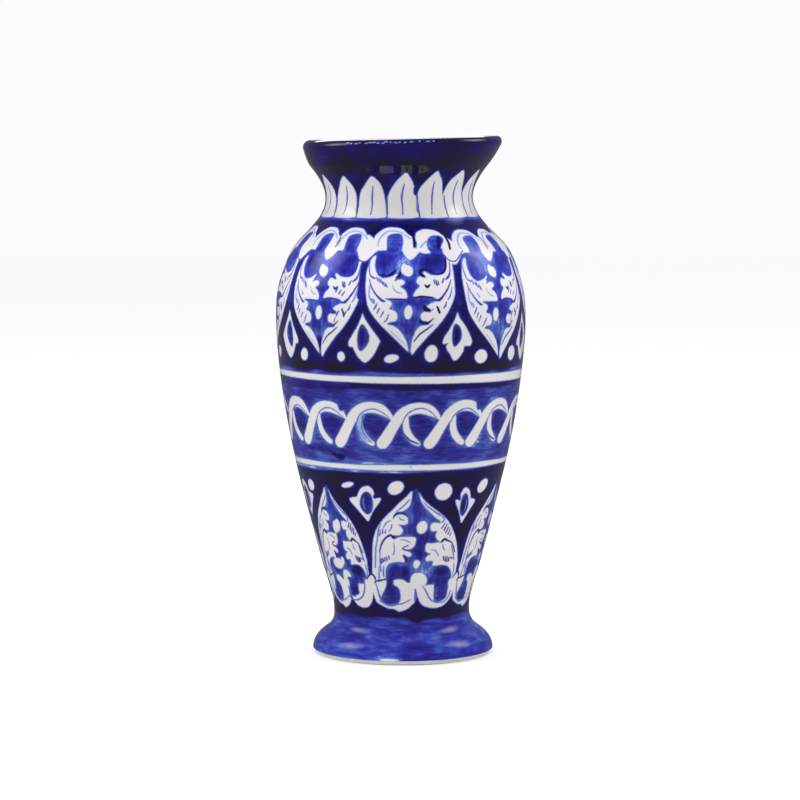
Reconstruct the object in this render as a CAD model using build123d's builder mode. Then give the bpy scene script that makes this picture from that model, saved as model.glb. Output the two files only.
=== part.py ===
from build123d import *

import os

# Hand-thrown pottery vase, twelve inches tall, for painting in cobalt blue on white.
# Four clay sections are luted one on another with liquid clay, dipped in white
# slip and glazed outside and inside. Every piece is turned about the upright
# axis. The origin is the middle of the foot where it stands; +Z is up.
# A section is drawn as (radius, height) in millimetres.

# Heights, each measured from the one before it
foot_height = 26.0  # table to the narrow waist
flank_height = 174.0  # waist to the widest part of the belly
shoulder_height = 58.0  # widest part to the seam under the neck
neck_height = 47.0  # that seam to the top of the lip

# Finished radii
foot_radius = 53.9
waist_radius = 40.4
belly_radius = 74.2
neck_seam_radius = 49.2
throat_radius = 43.7
lip_radius = 58.8

# Thicknesses
clay_wall = 4.6
slip_coat = 0.7
glaze_coat = 0.5
luting_gap = 1.0
floor_thickness = 7.0

# Throat, lip, foot and seams
throat_rise = 13.5  # throat above the neck seam
lip_slant = 27.0  # degrees that the lip leans out from upright
foot_edge_height = 4.2  # fullest part of the foot
foot_seam_drop = 5.5  # foot seam below the waist
belly_seam_drop = 34.0  # belly seam below the widest part
lap_step = 3.0  # height of the lap in each seam
foot_bore_radius = 32.5  # hollow of the foot at its top
foot_ring_width = 8.0  # flat ring that the vase stands on
bare_foot_height = 2.6  # clay left without slip or glaze
floor_corner_height = 12.0  # rounded corner where the wall meets the floor

# Sizes that follow
coat = slip_coat + glaze_coat
full_wall = clay_wall + 2 * coat
waist_level = foot_height
belly_level = waist_level + flank_height
neck_seam_level = belly_level + shoulder_height
total_height = neck_seam_level + neck_height
throat_level = neck_seam_level + throat_rise
bead = full_wall / 2  # the lip ends in a half round as thick as the wall
lip_slope = Vector(0, 1).rotate(Axis.Z, -lip_slant)
lip_end = Vector(lip_radius - bead, total_height - bead) + lip_slope.rotate(Axis.Z, -90) * bead
foot_seam_level = waist_level - foot_seam_drop
belly_seam_level = belly_level - belly_seam_drop
floor_underside = foot_seam_level + lap_step + 2 * luting_gap
floor_level = floor_underside + floor_thickness + coat

# Drawing aids
beyond = 2 * belly_radius  # clear of the vase on every side
curve_steps = 60  # points along a parallel curve
halvings = 40  # tries when a level is looked up on the profile

# Shape of each stretch, as shares of its rise and of its change in radius
foot_shape = ((-0.08, 0.93), (0.4, 0.82), (0.54, 0.54), (0.68, 0.23), (0.82, 0.07))
flank_shape = ((0.15, 0.18), (0.3, 0.395), (0.46, 0.605), (0.64, 0.8), (0.83, 0.942))
shoulder_shape = ((0.29, 0.05), (0.54, 0.23), (0.78, 0.54))
throat_shape = ((0.45, 0.7),)
lip_shape = ((0.29, 0.15), (0.53, 0.42), (0.75, 0.73))


def stretch(shape, low, high, first, last):
    """Points between two levels as the radius goes from the first to the last."""
    points = []
    for rise, change in shape:
        points.append((first + change * (last - first), low + rise * (high - low)))
    return points


def foot_points():
    """Points of the spreading foot, from just under the table up to the waist."""
    points = []
    for rise, share in foot_shape:
        radius = waist_radius + share * (foot_radius - waist_radius)
        points.append((radius, rise * waist_level))
    points.insert(1, (foot_radius, foot_edge_height))
    return points


with BuildLine() as outside:
    Spline(
        *foot_points(),
        (waist_radius, waist_level),
        *stretch(flank_shape, waist_level, belly_level, waist_radius, belly_radius),
        (belly_radius, belly_level),
        *stretch(shoulder_shape, belly_level, neck_seam_level, belly_radius, neck_seam_radius),
        (neck_seam_radius, neck_seam_level),
        *stretch(throat_shape, neck_seam_level, throat_level, neck_seam_radius, throat_radius),
        (throat_radius, throat_level),
        *stretch(lip_shape, throat_level, lip_end.Y, throat_radius, lip_end.X),
        lip_end - lip_slope,
        lip_end,
    )
profile = outside.edges()[0]


def inward(place, depth):
    """Point under the finished outside, measured square to it into the wall."""
    along = profile % place
    return profile @ place + Vector(-along.Y, along.X) * depth


def place_at(level, depth=0.0):
    """Place along the profile where the surface at that depth crosses a level."""
    low, high = 0.0, 1.0
    for _ in range(halvings):
        middle = (low + high) / 2
        if inward(middle, depth).Y < level:
            low = middle
        else:
            high = middle
    return low


def follow(depth, start=0.0):
    """Curve parallel to the finished outside, from the start to the lip."""
    points = []
    for step in range(curve_steps + 1):
        place = start + (1 - start) * step / curve_steps
        points.append(inward(place, depth))
    return Spline(*points)


def outer_line(coating):
    """Outside of the wall under a coating, from below the table to the crest."""
    flank = follow(coating)
    lip = JernArc(flank @ 1, profile % 1, bead - coating, 90)
    return flank @ 0, lip @ 1


def inner_line(coating):
    """Inside of the wall under a coating, from the middle of the floor to the crest.

    The corner is an arc tangent to the wall and the floor: its radius is the
    corner's height over one less the sine of the wall's lean.
    """
    start = place_at(floor_level + floor_corner_height, full_wall)
    flank = follow(full_wall - coating, start)
    along = profile % start
    corner_radius = (inward(start, full_wall).Y - floor_level) / (1 - along.X)
    turn = 90 - along.get_angle(Vector(0, 1))
    corner = JernArc(flank @ 0, along * -1, corner_radius + coating, -turn)
    Line((0, floor_level - coating), corner @ 1)
    lip = JernArc(flank @ 1, profile % 1, bead - coating, -90)
    return Vector(0, floor_level - coating), lip @ 1


def layer(line, thin, thick):
    """Section of a coating, between its two surfaces on one side of the wall."""
    with BuildSketch() as section:
        with BuildLine():
            near_start, near_crest = line(thin)
            far_start, far_crest = line(thick)
            Line(near_start, far_start)
            Line(near_crest, far_crest)
        make_face()
    return section.sketch


def clay():
    """Section of all the clay: wall, lip, floor and hollow foot."""
    with BuildSketch() as section:
        with BuildLine():
            outer_start, _ = outer_line(coat)
            floor_start, _ = inner_line(coat)
            ring_inside = Vector(outer_start.X - foot_ring_width, outer_start.Y)
            Line(floor_start, (0, floor_underside))
            Line((0, floor_underside), (foot_bore_radius, floor_underside))
            Line((foot_bore_radius, floor_underside), ring_inside)
            Line(ring_inside, outer_start)
        make_face()
    return section.sketch


def seam(level, raise_by=0.0):
    """Line square across the wall, whose inner half is a lap step further up."""
    place = place_at(level)
    along = profile % place
    outer = inward(place, -2 * full_wall) + along * raise_by
    low_corner = inward(place, bead - raise_by) + along * raise_by
    high_corner = low_corner + along * lap_step
    inner = inward(place, 2 * full_wall) + along * (raise_by + lap_step)
    return [outer, low_corner, high_corner, inner, Vector(0, inner.Y)]


def level_line(level):
    """Straight line across the section at one level."""
    return [Vector(beyond, level), Vector(0, level)]


def between(lower, upper):
    """The part of a section that lies between a lower and an upper line."""
    with BuildSketch() as zone:
        with BuildLine():
            Polyline(*lower, *reversed(upper), close=True)
        make_face()
    return zone.sketch


all_clay = clay()
foot_seam = seam(foot_seam_level)
foot_seam_top = seam(foot_seam_level, luting_gap)
belly_seam = seam(belly_seam_level)
belly_seam_top = seam(belly_seam_level, luting_gap)
neck_seam = seam(neck_seam_level)
neck_seam_top = seam(neck_seam_level, luting_gap)
table = level_line(0.0)
bare_line = level_line(bare_foot_height)
above_lip = level_line(total_height + full_wall)


# Clay sections, thrown one by one

with BuildPart() as foot:
    with BuildSketch(Plane.XZ):
        add(all_clay)
        add(between(table, foot_seam), mode=Mode.INTERSECT)
    revolve(axis=Axis.Z)

with BuildPart() as lower_body:
    with BuildSketch(Plane.XZ):
        add(all_clay)
        add(between(foot_seam_top, belly_seam), mode=Mode.INTERSECT)
    revolve(axis=Axis.Z)

with BuildPart() as upper_body:
    with BuildSketch(Plane.XZ):
        add(all_clay)
        add(between(belly_seam_top, neck_seam), mode=Mode.INTERSECT)
    revolve(axis=Axis.Z)

with BuildPart() as neck:
    with BuildSketch(Plane.XZ):
        add(all_clay)
        add(between(neck_seam_top, above_lip), mode=Mode.INTERSECT)
    revolve(axis=Axis.Z)


# Luting, the liquid clay that fills each lapped seam

with BuildPart() as foot_luting:
    with BuildSketch(Plane.XZ):
        add(all_clay)
        add(between(foot_seam, foot_seam_top), mode=Mode.INTERSECT)
    revolve(axis=Axis.Z)

with BuildPart() as belly_luting:
    with BuildSketch(Plane.XZ):
        add(all_clay)
        add(between(belly_seam, belly_seam_top), mode=Mode.INTERSECT)
    revolve(axis=Axis.Z)

with BuildPart() as neck_luting:
    with BuildSketch(Plane.XZ):
        add(all_clay)
        add(between(neck_seam, neck_seam_top), mode=Mode.INTERSECT)
    revolve(axis=Axis.Z)


# White slip and clear glaze, outside down to the bare foot and all over inside

with BuildPart() as outer_slip:
    with BuildSketch(Plane.XZ):
        add(layer(outer_line, glaze_coat, coat))
        add(between(bare_line, above_lip), mode=Mode.INTERSECT)
    revolve(axis=Axis.Z)

with BuildPart() as outer_glaze:
    with BuildSketch(Plane.XZ):
        add(layer(outer_line, 0.0, glaze_coat))
        add(between(bare_line, above_lip), mode=Mode.INTERSECT)
    revolve(axis=Axis.Z)

with BuildPart() as inner_slip:
    with BuildSketch(Plane.XZ):
        add(layer(inner_line, glaze_coat, coat))
    revolve(axis=Axis.Z)

with BuildPart() as inner_glaze:
    with BuildSketch(Plane.XZ):
        add(layer(inner_line, 0.0, glaze_coat))
    revolve(axis=Axis.Z)


pieces = {
    "foot": foot,
    "lower_body": lower_body,
    "upper_body": upper_body,
    "neck": neck,
    "foot_luting": foot_luting,
    "belly_luting": belly_luting,
    "neck_luting": neck_luting,
    "outer_slip": outer_slip,
    "inner_slip": inner_slip,
    "outer_glaze": outer_glaze,
    "inner_glaze": inner_glaze,
}

os.makedirs("parts", exist_ok=True)
for name, piece in pieces.items():
    piece.part.label = name
    export_step(piece.part, f"parts/{name}.step")
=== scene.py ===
"""A painted pottery vase: thrown clay, white coatings and brushed cobalt ornament.

Every surface is a profile turned round the pot's axis on a grid, and the ornament is
kept at the grid's points as distances in millimetres to the edge of each brush mark.
"""

import math

import bpy
import numpy as np
from bpy.props import FloatProperty, FloatVectorProperty, IntProperty, PointerProperty
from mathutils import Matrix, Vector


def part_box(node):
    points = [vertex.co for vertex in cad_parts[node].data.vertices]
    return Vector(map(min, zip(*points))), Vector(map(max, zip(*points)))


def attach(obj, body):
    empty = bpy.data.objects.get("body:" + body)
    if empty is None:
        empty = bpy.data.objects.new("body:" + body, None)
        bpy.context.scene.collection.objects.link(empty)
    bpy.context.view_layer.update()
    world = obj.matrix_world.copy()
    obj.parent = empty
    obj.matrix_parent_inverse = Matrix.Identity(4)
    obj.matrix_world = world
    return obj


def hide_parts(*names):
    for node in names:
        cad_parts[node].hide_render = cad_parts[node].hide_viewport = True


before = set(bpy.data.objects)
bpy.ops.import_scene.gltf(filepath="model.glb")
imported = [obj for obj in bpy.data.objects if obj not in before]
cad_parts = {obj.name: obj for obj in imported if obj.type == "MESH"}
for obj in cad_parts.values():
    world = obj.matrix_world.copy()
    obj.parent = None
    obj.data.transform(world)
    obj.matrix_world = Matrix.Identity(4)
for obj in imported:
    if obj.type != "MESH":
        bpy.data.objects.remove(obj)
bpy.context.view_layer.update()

bl_info = {
    "name": "Painted Pottery Vase",
    "version": (1, 0, 0),
    "blender": (4, 5, 0),
    "location": "3D View > Sidebar > Vase",
    "description": "Makes a thrown, painted and glazed vase with its stage",
    "category": "Add Mesh",
}

MM = 0.001
GLAZE_LOW, GLAZE_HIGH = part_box("outer_glaze")
NECK_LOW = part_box("neck")[0]
LINING_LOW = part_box("inner_glaze")[0]


# ---------------------------------------------------------------- sizes and colours


def length(name, text, value):
    """A length that the user may change, in metres."""
    return FloatProperty(name=name, description=text, default=value, unit="LENGTH", subtype="DISTANCE")


def colour(name, text, value):
    """A paint colour that the user may change, given as screen values out of 255."""
    shares = np.array(value) / 255
    linear = np.where(shares <= 0.04045, shares / 12.92, ((shares + 0.055) / 1.055) ** 2.4)
    return FloatVectorProperty(name=name, description=text, default=tuple(linear), min=0, max=1,
                               size=3, subtype="COLOR")


class VaseSizes(bpy.types.PropertyGroup):
    """Sizes of the pot."""

    height: length("Height", "Table to the crest of the lip", GLAZE_HIGH.z)
    belly_radius: length("Belly radius", "Widest radius", GLAZE_HIGH.x)
    belly_level: length("Belly level", "Height of the widest radius", 0.200)
    foot_radius: length("Foot radius", "Radius just above the table", 0.0539)
    foot_height: length("Foot height", "Height of the waist over the table", 0.026)
    waist_radius: length("Waist radius", "Radius between foot and flank", 0.0404)
    neck_level: length("Neck level", "Height where the neck begins", NECK_LOW.z)
    neck_radius: length("Neck radius", "Radius where the neck begins", 0.0492)
    throat_radius: length("Throat radius", "Narrowest radius of the neck", 0.0437)
    lip_slant: FloatProperty(name="Lip slant", description="Lean of the lip from upright",
                             default=math.radians(27), unit="ROTATION", subtype="ANGLE")
    wall: length("Wall", "Finished wall, coatings and all", 0.007)
    coat: length("Coat", "White coat and glaze on each side", 0.0012)
    bare_foot: length("Bare foot", "Height left without glaze", GLAZE_LOW.z)
    floor_level: length("Floor level", "Top of the floor inside", LINING_LOW.z + 0.0012)
    floor_underside: length("Floor underside", "Underside of the floor in the hollow foot", 0.0255)
    bore_radius: length("Bore radius", "Hollow of the foot at its top", 0.0325)
    ring_width: length("Ring width", "Standing ring of the foot", 0.008)
    belly_seam: length("Belly seam", "Height of the seam in the belly", 0.166)
    foot_seam: length("Foot seam", "Height of the seam over the foot", 0.0205)
    columns: IntProperty(name="Columns", description="Points round the pot", default=800, min=96)
    row_step: length("Row step", "Distance between rows of painted points", 0.0005)


class VaseColours(bpy.types.PropertyGroup):
    """Colours of the paints and coatings, from thin cobalt wash to thick paint."""

    white: colour("White", "White coat under the glaze", (223, 220, 221))
    pale: colour("Pale blue", "Where cobalt bleeds thinly into the white", (150, 172, 234))
    light: colour("Light blue", "Thin wash", (66, 92, 196))
    wash: colour("Wash", "Ordinary wash of the grounds", (41, 43, 160))
    deep: colour("Deep blue", "Wash laid twice", (26, 22, 122))
    navy: colour("Navy", "Thick paint of the dark grounds", (14, 6, 84))
    black: colour("Black", "The thickest paint, nearly black", (19, 16, 38))
    clay: colour("Clay", "Bare fired clay", (216, 215, 212))
    luting: colour("Luting", "Liquid clay in the seams", (188, 170, 150))
    stage: colour("Stage", "Floor under the pot", (254, 254, 254))


# ---------------------------------------------------------------- form of the pot

# Stations of the profile between two of its sizes: share of the rise, share of the change of radius.
FOOT_SHAPE = ((-0.08, 0.93), (0.4, 0.82), (0.54, 0.54), (0.68, 0.23), (0.82, 0.07))
FLANK_SHAPE = ((0.15, 0.18), (0.3, 0.395), (0.46, 0.605), (0.64, 0.8), (0.83, 0.942))
SHOULDER_SHAPE = ((0.29, 0.05), (0.54, 0.23), (0.78, 0.54))
NECK_SHAPE = ((0.45, 0.7),)
LIP_SHAPE = ((0.29, 0.15), (0.53, 0.42), (0.75, 0.73))
# Level of the foot's widest edge, rise from neck to throat, and radius of the lip, in millimetres.
FOOT_EDGE, THROAT_RISE, LIP_RADIUS = 4.2, 13.5, 58.8

# How the hand-thrown pot departs from the true form: levels, then millimetres.
WANDER = ((0, 15, 26, 90, 200, 240, 271, 290, 305), (1.7, 1.7, 0.9, 0.5, 0.4, 0.3, -0.5, -0.1, 1.8))
FULLER = ((0, 16, 25, 37, 60, 226, 240, 252, 277, 290, 301), (0, -1.1, 0, 0.9, 0, 0, 0.6, 0, 0, 0.8, 0))
LEAN_FROM, LEAN_OVER = 248, 57
LEAN_RIGHT, LEAN_BACK = math.radians(1.35), math.radians(0.6)
LIP_LIFT = 1.1

# The bake map: its margin, the height of each half, and the share of it that an outside takes.
MAP_MARGIN, MAP_TALL = 0.004, 0.488
OUTSIDE_SHARE = 0.86
# A bend that stays a sharp edge.
SHARP_BEND = math.radians(35)


def eased(share):
    """A share held between 0 and 1 and eased at both ends: three squares less two cubes."""
    share = np.clip(share, 0, 1)
    return share * share * (3 - 2 * share)


def run_along(points):
    """Distance from the first point to each one along a line."""
    return np.concatenate([[0.0], np.cumsum(np.hypot(*np.diff(points, axis=0).T))])


def smooth_through(points, count):
    """Natural cubic spline through the points, with the distance between them as its run.

    Second slopes come from the usual three-term equations; each piece is a cubic in the run.
    """
    given = np.asarray(points, float)
    run = run_along(given)
    gaps = np.diff(run)
    slopes = np.diff(given, axis=0) / gaps[:, None]
    size = len(given)
    terms = np.eye(size)
    right = np.zeros((size, 2))
    inner = np.arange(1, size - 1)
    terms[inner, inner - 1] = gaps[:-1]
    terms[inner, inner] = 2 * (gaps[:-1] + gaps[1:])
    terms[inner, inner + 1] = gaps[1:]
    right[inner] = 6 * (slopes[1:] - slopes[:-1])
    bends = np.linalg.solve(terms, right)
    at = np.linspace(0, run[-1], count)
    k = np.clip(np.searchsorted(run, at, side="right") - 1, 0, size - 2)
    back = (run[k + 1] - at)[:, None]
    on = (at - run[k])[:, None]
    gap = gaps[k][:, None]
    return (bends[k] * back**3 / (6 * gap) + bends[k + 1] * on**3 / (6 * gap)
            + (given[k] / gap - bends[k] * gap / 6) * back
            + (given[k + 1] / gap - bends[k + 1] * gap / 6) * on)


def stretch(shape, low, high, first, last):
    """Points between two levels as the radius goes from the first to the last."""
    return [(first + change * (last - first), low + rise * (high - low)) for rise, change in shape]


class Form:
    """The pot's finished outside as radius and level along its profile, in millimetres."""

    def __init__(self, sizes):
        def of(name):
            return getattr(sizes, name) * (1 / MM)

        foot, waist, waist_level = of("foot_radius"), of("waist_radius"), of("foot_height")
        belly, belly_level = of("belly_radius"), of("belly_level")
        neck, neck_level = of("neck_radius"), of("neck_level")
        throat, throat_level = of("throat_radius"), neck_level + THROAT_RISE
        self.wall = of("wall")
        self.bead = self.wall / 2
        self.lean = sizes.lip_slant
        rise = np.array([math.sin(self.lean), math.cos(self.lean)])
        self.lip_end = np.array([LIP_RADIUS - self.bead * (1 - rise[1]),
                                 of("height") - self.bead * (1 + rise[0])])
        below, *flare = stretch(FOOT_SHAPE, 0, waist_level, waist, foot)
        self.flank = smooth_through([
            below, (foot, FOOT_EDGE), *flare, (waist, waist_level),
            *stretch(FLANK_SHAPE, waist_level, belly_level, waist, belly), (belly, belly_level),
            *stretch(SHOULDER_SHAPE, belly_level, neck_level, belly, neck), (neck, neck_level),
            *stretch(NECK_SHAPE, neck_level, throat_level, neck, throat), (throat, throat_level),
            *stretch(LIP_SHAPE, throat_level, self.lip_end[1], throat, self.lip_end[0]),
            self.lip_end - rise, self.lip_end], 3000)
        self.centre = self.lip_end + self.bead * np.array([-rise[1], rise[0]])
        swing = np.linspace(-self.lean, math.pi / 2, 60)[1:]
        bead = self.centre + self.bead * np.stack([np.cos(swing), np.sin(swing)], axis=1)
        self.line = np.concatenate([self.flank, bead])
        self.run = run_along(self.line)

    def run_at(self, level):
        """Distance along the profile at a level."""
        return np.interp(level, self.line[:, 1], self.run)

    def at_run(self, run):
        """Radius and level at a distance along the profile."""
        return np.stack([np.interp(run, self.run, part) for part in self.line.T], axis=-1)

    def radius_at(self, level):
        """Radius at a level."""
        return np.interp(level, self.line[:, 1], self.line[:, 0])

    def under(self, depth, low, high, step):
        """The flank between two levels, moved square to itself into the wall."""
        runs = self.run[: len(self.flank)]
        along = np.gradient(self.flank, runs, axis=0)
        along /= np.hypot(*along.T)[:, None]
        moved = self.flank + depth * np.stack([-along[:, 1], along[:, 0]], axis=1)
        keep = (moved[:, 1] >= low) & (moved[:, 1] <= high)
        kept = moved[keep]
        count = max(3, int(np.ptp(runs[keep]) / step))
        pick = np.unique(np.linspace(0, len(kept) - 1, count).round().astype(int))
        return kept[pick]

    def lip_arc(self, radius, first, last, count):
        """Part of the lip's round, at a radius about the middle of its bead."""
        swing = np.radians(np.linspace(first, last, count))
        return self.centre + radius * np.stack([np.cos(swing), np.sin(swing)], axis=1)


def by_hand(radius, level, turn):
    """Where the hand-thrown pot has a point of the true one, in metres.

    The axis wanders sideways with height, the wall is a little fuller or slimmer at some levels,
    the pot is a little oval, throwing rings run up it as a faint spiral wave, and above the
    shoulder it leans so that the right and the back of the lip are higher.
    """
    fuller = np.interp(level, *FULLER) * np.clip(radius / 40, 0, 1)
    rise = np.clip(level / 30, 0, 1)
    oval = 0.0035 * np.cos(2 * turn - 1.1) + 0.0015 * np.cos(3 * turn + 0.4)
    rings = 0.012 * np.sin(level / 1.9 + turn) + 0.05 * np.sin(level / 9 - turn + 1.0)
    rounder = radius * (1 + oval * rise) + fuller + rings * rise * np.clip(radius / 30, 0, 1)
    across = np.interp(level, *WANDER) + rounder * np.sin(turn)
    away = -rounder * np.cos(turn)
    lifted = LIP_LIFT + across * math.tan(LEAN_RIGHT) + away * math.tan(LEAN_BACK)
    return np.stack([across, away, level + lifted * eased((level - LEAN_FROM) / LEAN_OVER)], axis=-1) * MM


def turned(name, line, columns, outside=None, to_axis=False):
    """A closed profile turned round the axis: a grid of profile points by turns.

    Each point is the profile's radius and level carried to the turn by by_hand. A profile that
    starts and ends on the axis closes in two poles; any other one joins its last row to its
    first. The unrolled halves lie one over the other on the bake map, so nothing overlaps, and
    the first rows, if they are the outside, get most of it.
    """
    line = np.asarray(line, float)
    rows = len(line)
    turn = np.linspace(-math.pi, math.pi, columns, endpoint=False)
    grid = by_hand(line[:, 0, None], line[:, 1, None], turn[None, :] + np.zeros((rows, 1)))
    column = np.arange(columns)
    after = (column + 1) % columns
    fans = []
    if to_axis:
        points = np.concatenate([grid[0, :1], grid[1:-1].reshape(-1, 3), grid[-1, :1]])
        low = 1 + np.arange(rows - 3)[:, None] * columns
        high = low + columns
        top = 1 + (rows - 3) * columns
        pole = np.zeros(columns, int)
        fans = [np.stack([pole, 1 + after, 1 + column], axis=-1),
                np.stack([top + column, top + after, pole + len(points) - 1], axis=-1)]
        row_of = np.repeat(np.arange(1, rows - 2), columns)
    else:
        points = grid.reshape(-1, 3)
        low = np.arange(rows)[:, None] * columns
        high = np.roll(low, -1, axis=0)
        row_of = np.repeat(np.arange(rows), columns)
    quads = np.stack([low + column, low + after, high + after, high + column], axis=-1).reshape(-1, 4)
    corners = np.concatenate([part.ravel() for part in (quads, *fans)])
    totals = np.concatenate([np.full(len(part), part.shape[1]) for part in (quads, *fans)])
    mesh = bpy.data.meshes.new(name)
    mesh.vertices.add(len(points))
    mesh.vertices.foreach_set("co", points.astype(np.float32).ravel())
    mesh.loops.add(len(corners))
    mesh.loops.foreach_set("vertex_index", corners.astype(np.int32))
    mesh.polygons.add(len(totals))
    mesh.polygons.foreach_set("loop_start", (np.cumsum(totals) - totals).astype(np.int32))
    mesh.update(calc_edges=True)
    mesh.validate()

    run = run_along(np.concatenate([line, line[:1]]))
    if outside is None:
        run = run / run[-1]
    else:
        edge = run[outside - 1]
        run = np.where(run <= edge, run / edge * OUTSIDE_SHARE,
                       OUTSIDE_SHARE + (run - edge) / (run[-1] - edge) * (1 - OUTSIDE_SHARE))
    half = columns // 2
    side = column // half
    usable = 1 - 2 * MAP_MARGIN
    left = MAP_MARGIN + usable * (column % half) / half
    wide = usable / half

    def placed(across, up, upper):
        return np.stack([across, MAP_MARGIN + MAP_TALL * up + 0.5 * upper], axis=-1)

    quad_column = np.tile(column, len(quads) // columns)
    x, s = left[quad_column], side[quad_column]
    low_run, high_run = run[row_of], run[row_of + 1]
    faces = [[placed(x, low_run, s), placed(x + wide, low_run, s), placed(x + wide, high_run, s),
              placed(x, high_run, s)]]
    if to_axis:
        pole, next_in = run[[0, rows - 1]], run[[1, rows - 2]]
        faces.append([placed(left + wide / 2, pole[0], side), placed(left + wide, next_in[0], side),
                      placed(left, next_in[0], side)])
        faces.append([placed(left, next_in[1], side), placed(left + wide, next_in[1], side),
                      placed(left + wide / 2, pole[1], side)])
    layer = mesh.uv_layers.new(name="OFBake")
    unrolled = [np.stack(part, axis=1).reshape(-1, 2) for part in faces]
    layer.data.foreach_set("uv", np.concatenate(unrolled).astype(np.float32).ravel())

    mesh.polygons.foreach_set("use_smooth", np.ones(len(mesh.polygons), bool))
    bends = np.diff(np.concatenate([line[-1:], line, line[:1]]), axis=0)
    heading = np.unwrap(np.arctan2(bends[:, 1], bends[:, 0]))
    sharp_rows = np.abs(np.diff(heading)) > SHARP_BEND
    ends = np.zeros(len(mesh.edges) * 2, np.int32)
    mesh.edges.foreach_get("vertices", ends)
    ends = ends.reshape(-1, 2)
    row = np.clip((ends - 1) // columns + 1 if to_axis else ends // columns, 0, rows - 1)
    mark = mesh.attributes.new("sharp_edge", "BOOLEAN", "EDGE")
    mark.data.foreach_set("value", (row[:, 0] == row[:, 1]) & sharp_rows[row[:, 0]])
    made = bpy.data.objects.new(name, mesh)
    bpy.context.scene.collection.objects.link(made)
    return made


def finished(made, material, slot, *nodes):
    """Gives a piece its material and its body, and hides the CAD nodes it stands for; slot, its finish's
    name, is not used.
    """
    made.data.materials.append(material)
    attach(made, "root")
    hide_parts(*nodes)


# ---------------------------------------------------------------- brushwork


def curved(points, closed=False, steps=4):
    """Points made smooth: between each pair, a cubic whose slopes are those of the chords."""
    given = np.asarray(points, float)
    if closed:
        places = [np.roll(given, shift, axis=0) for shift in (1, 0, -1, -2)]
    else:
        held = np.concatenate([given[:1], given, given[-1:]])
        places = [held[:-3], held[1:-2], held[2:-1], held[3:]]
    t = np.linspace(0, 1, steps, endpoint=False)[None, :, None]
    before, first, second, after = (place[:, None] for place in places)
    line = 0.5 * (2 * first + (second - before) * t
                  + (2 * before - 5 * first + 4 * second - after) * t**2
                  + (3 * first - before - 3 * second + after) * t**3)
    line = line.reshape(-1, given.shape[1])
    return line if closed else np.concatenate([line, given[-1:]])


def to_sides(across, up, a, b):
    """From each grid point to each side between a and b: the point as seen from a, the side,
    the nearest place's share of the side, and the distance to it."""
    side = b - a
    size = np.maximum((side**2).sum(axis=1), 1e-9)
    px, py = across[..., None] - a[:, 0], up[..., None] - a[:, 1]
    share = np.clip((px * side[:, 0] + py * side[:, 1]) / size, 0, 1)
    return px, py, side, share, np.hypot(px - share * side[:, 0], py - share * side[:, 1])


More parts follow.
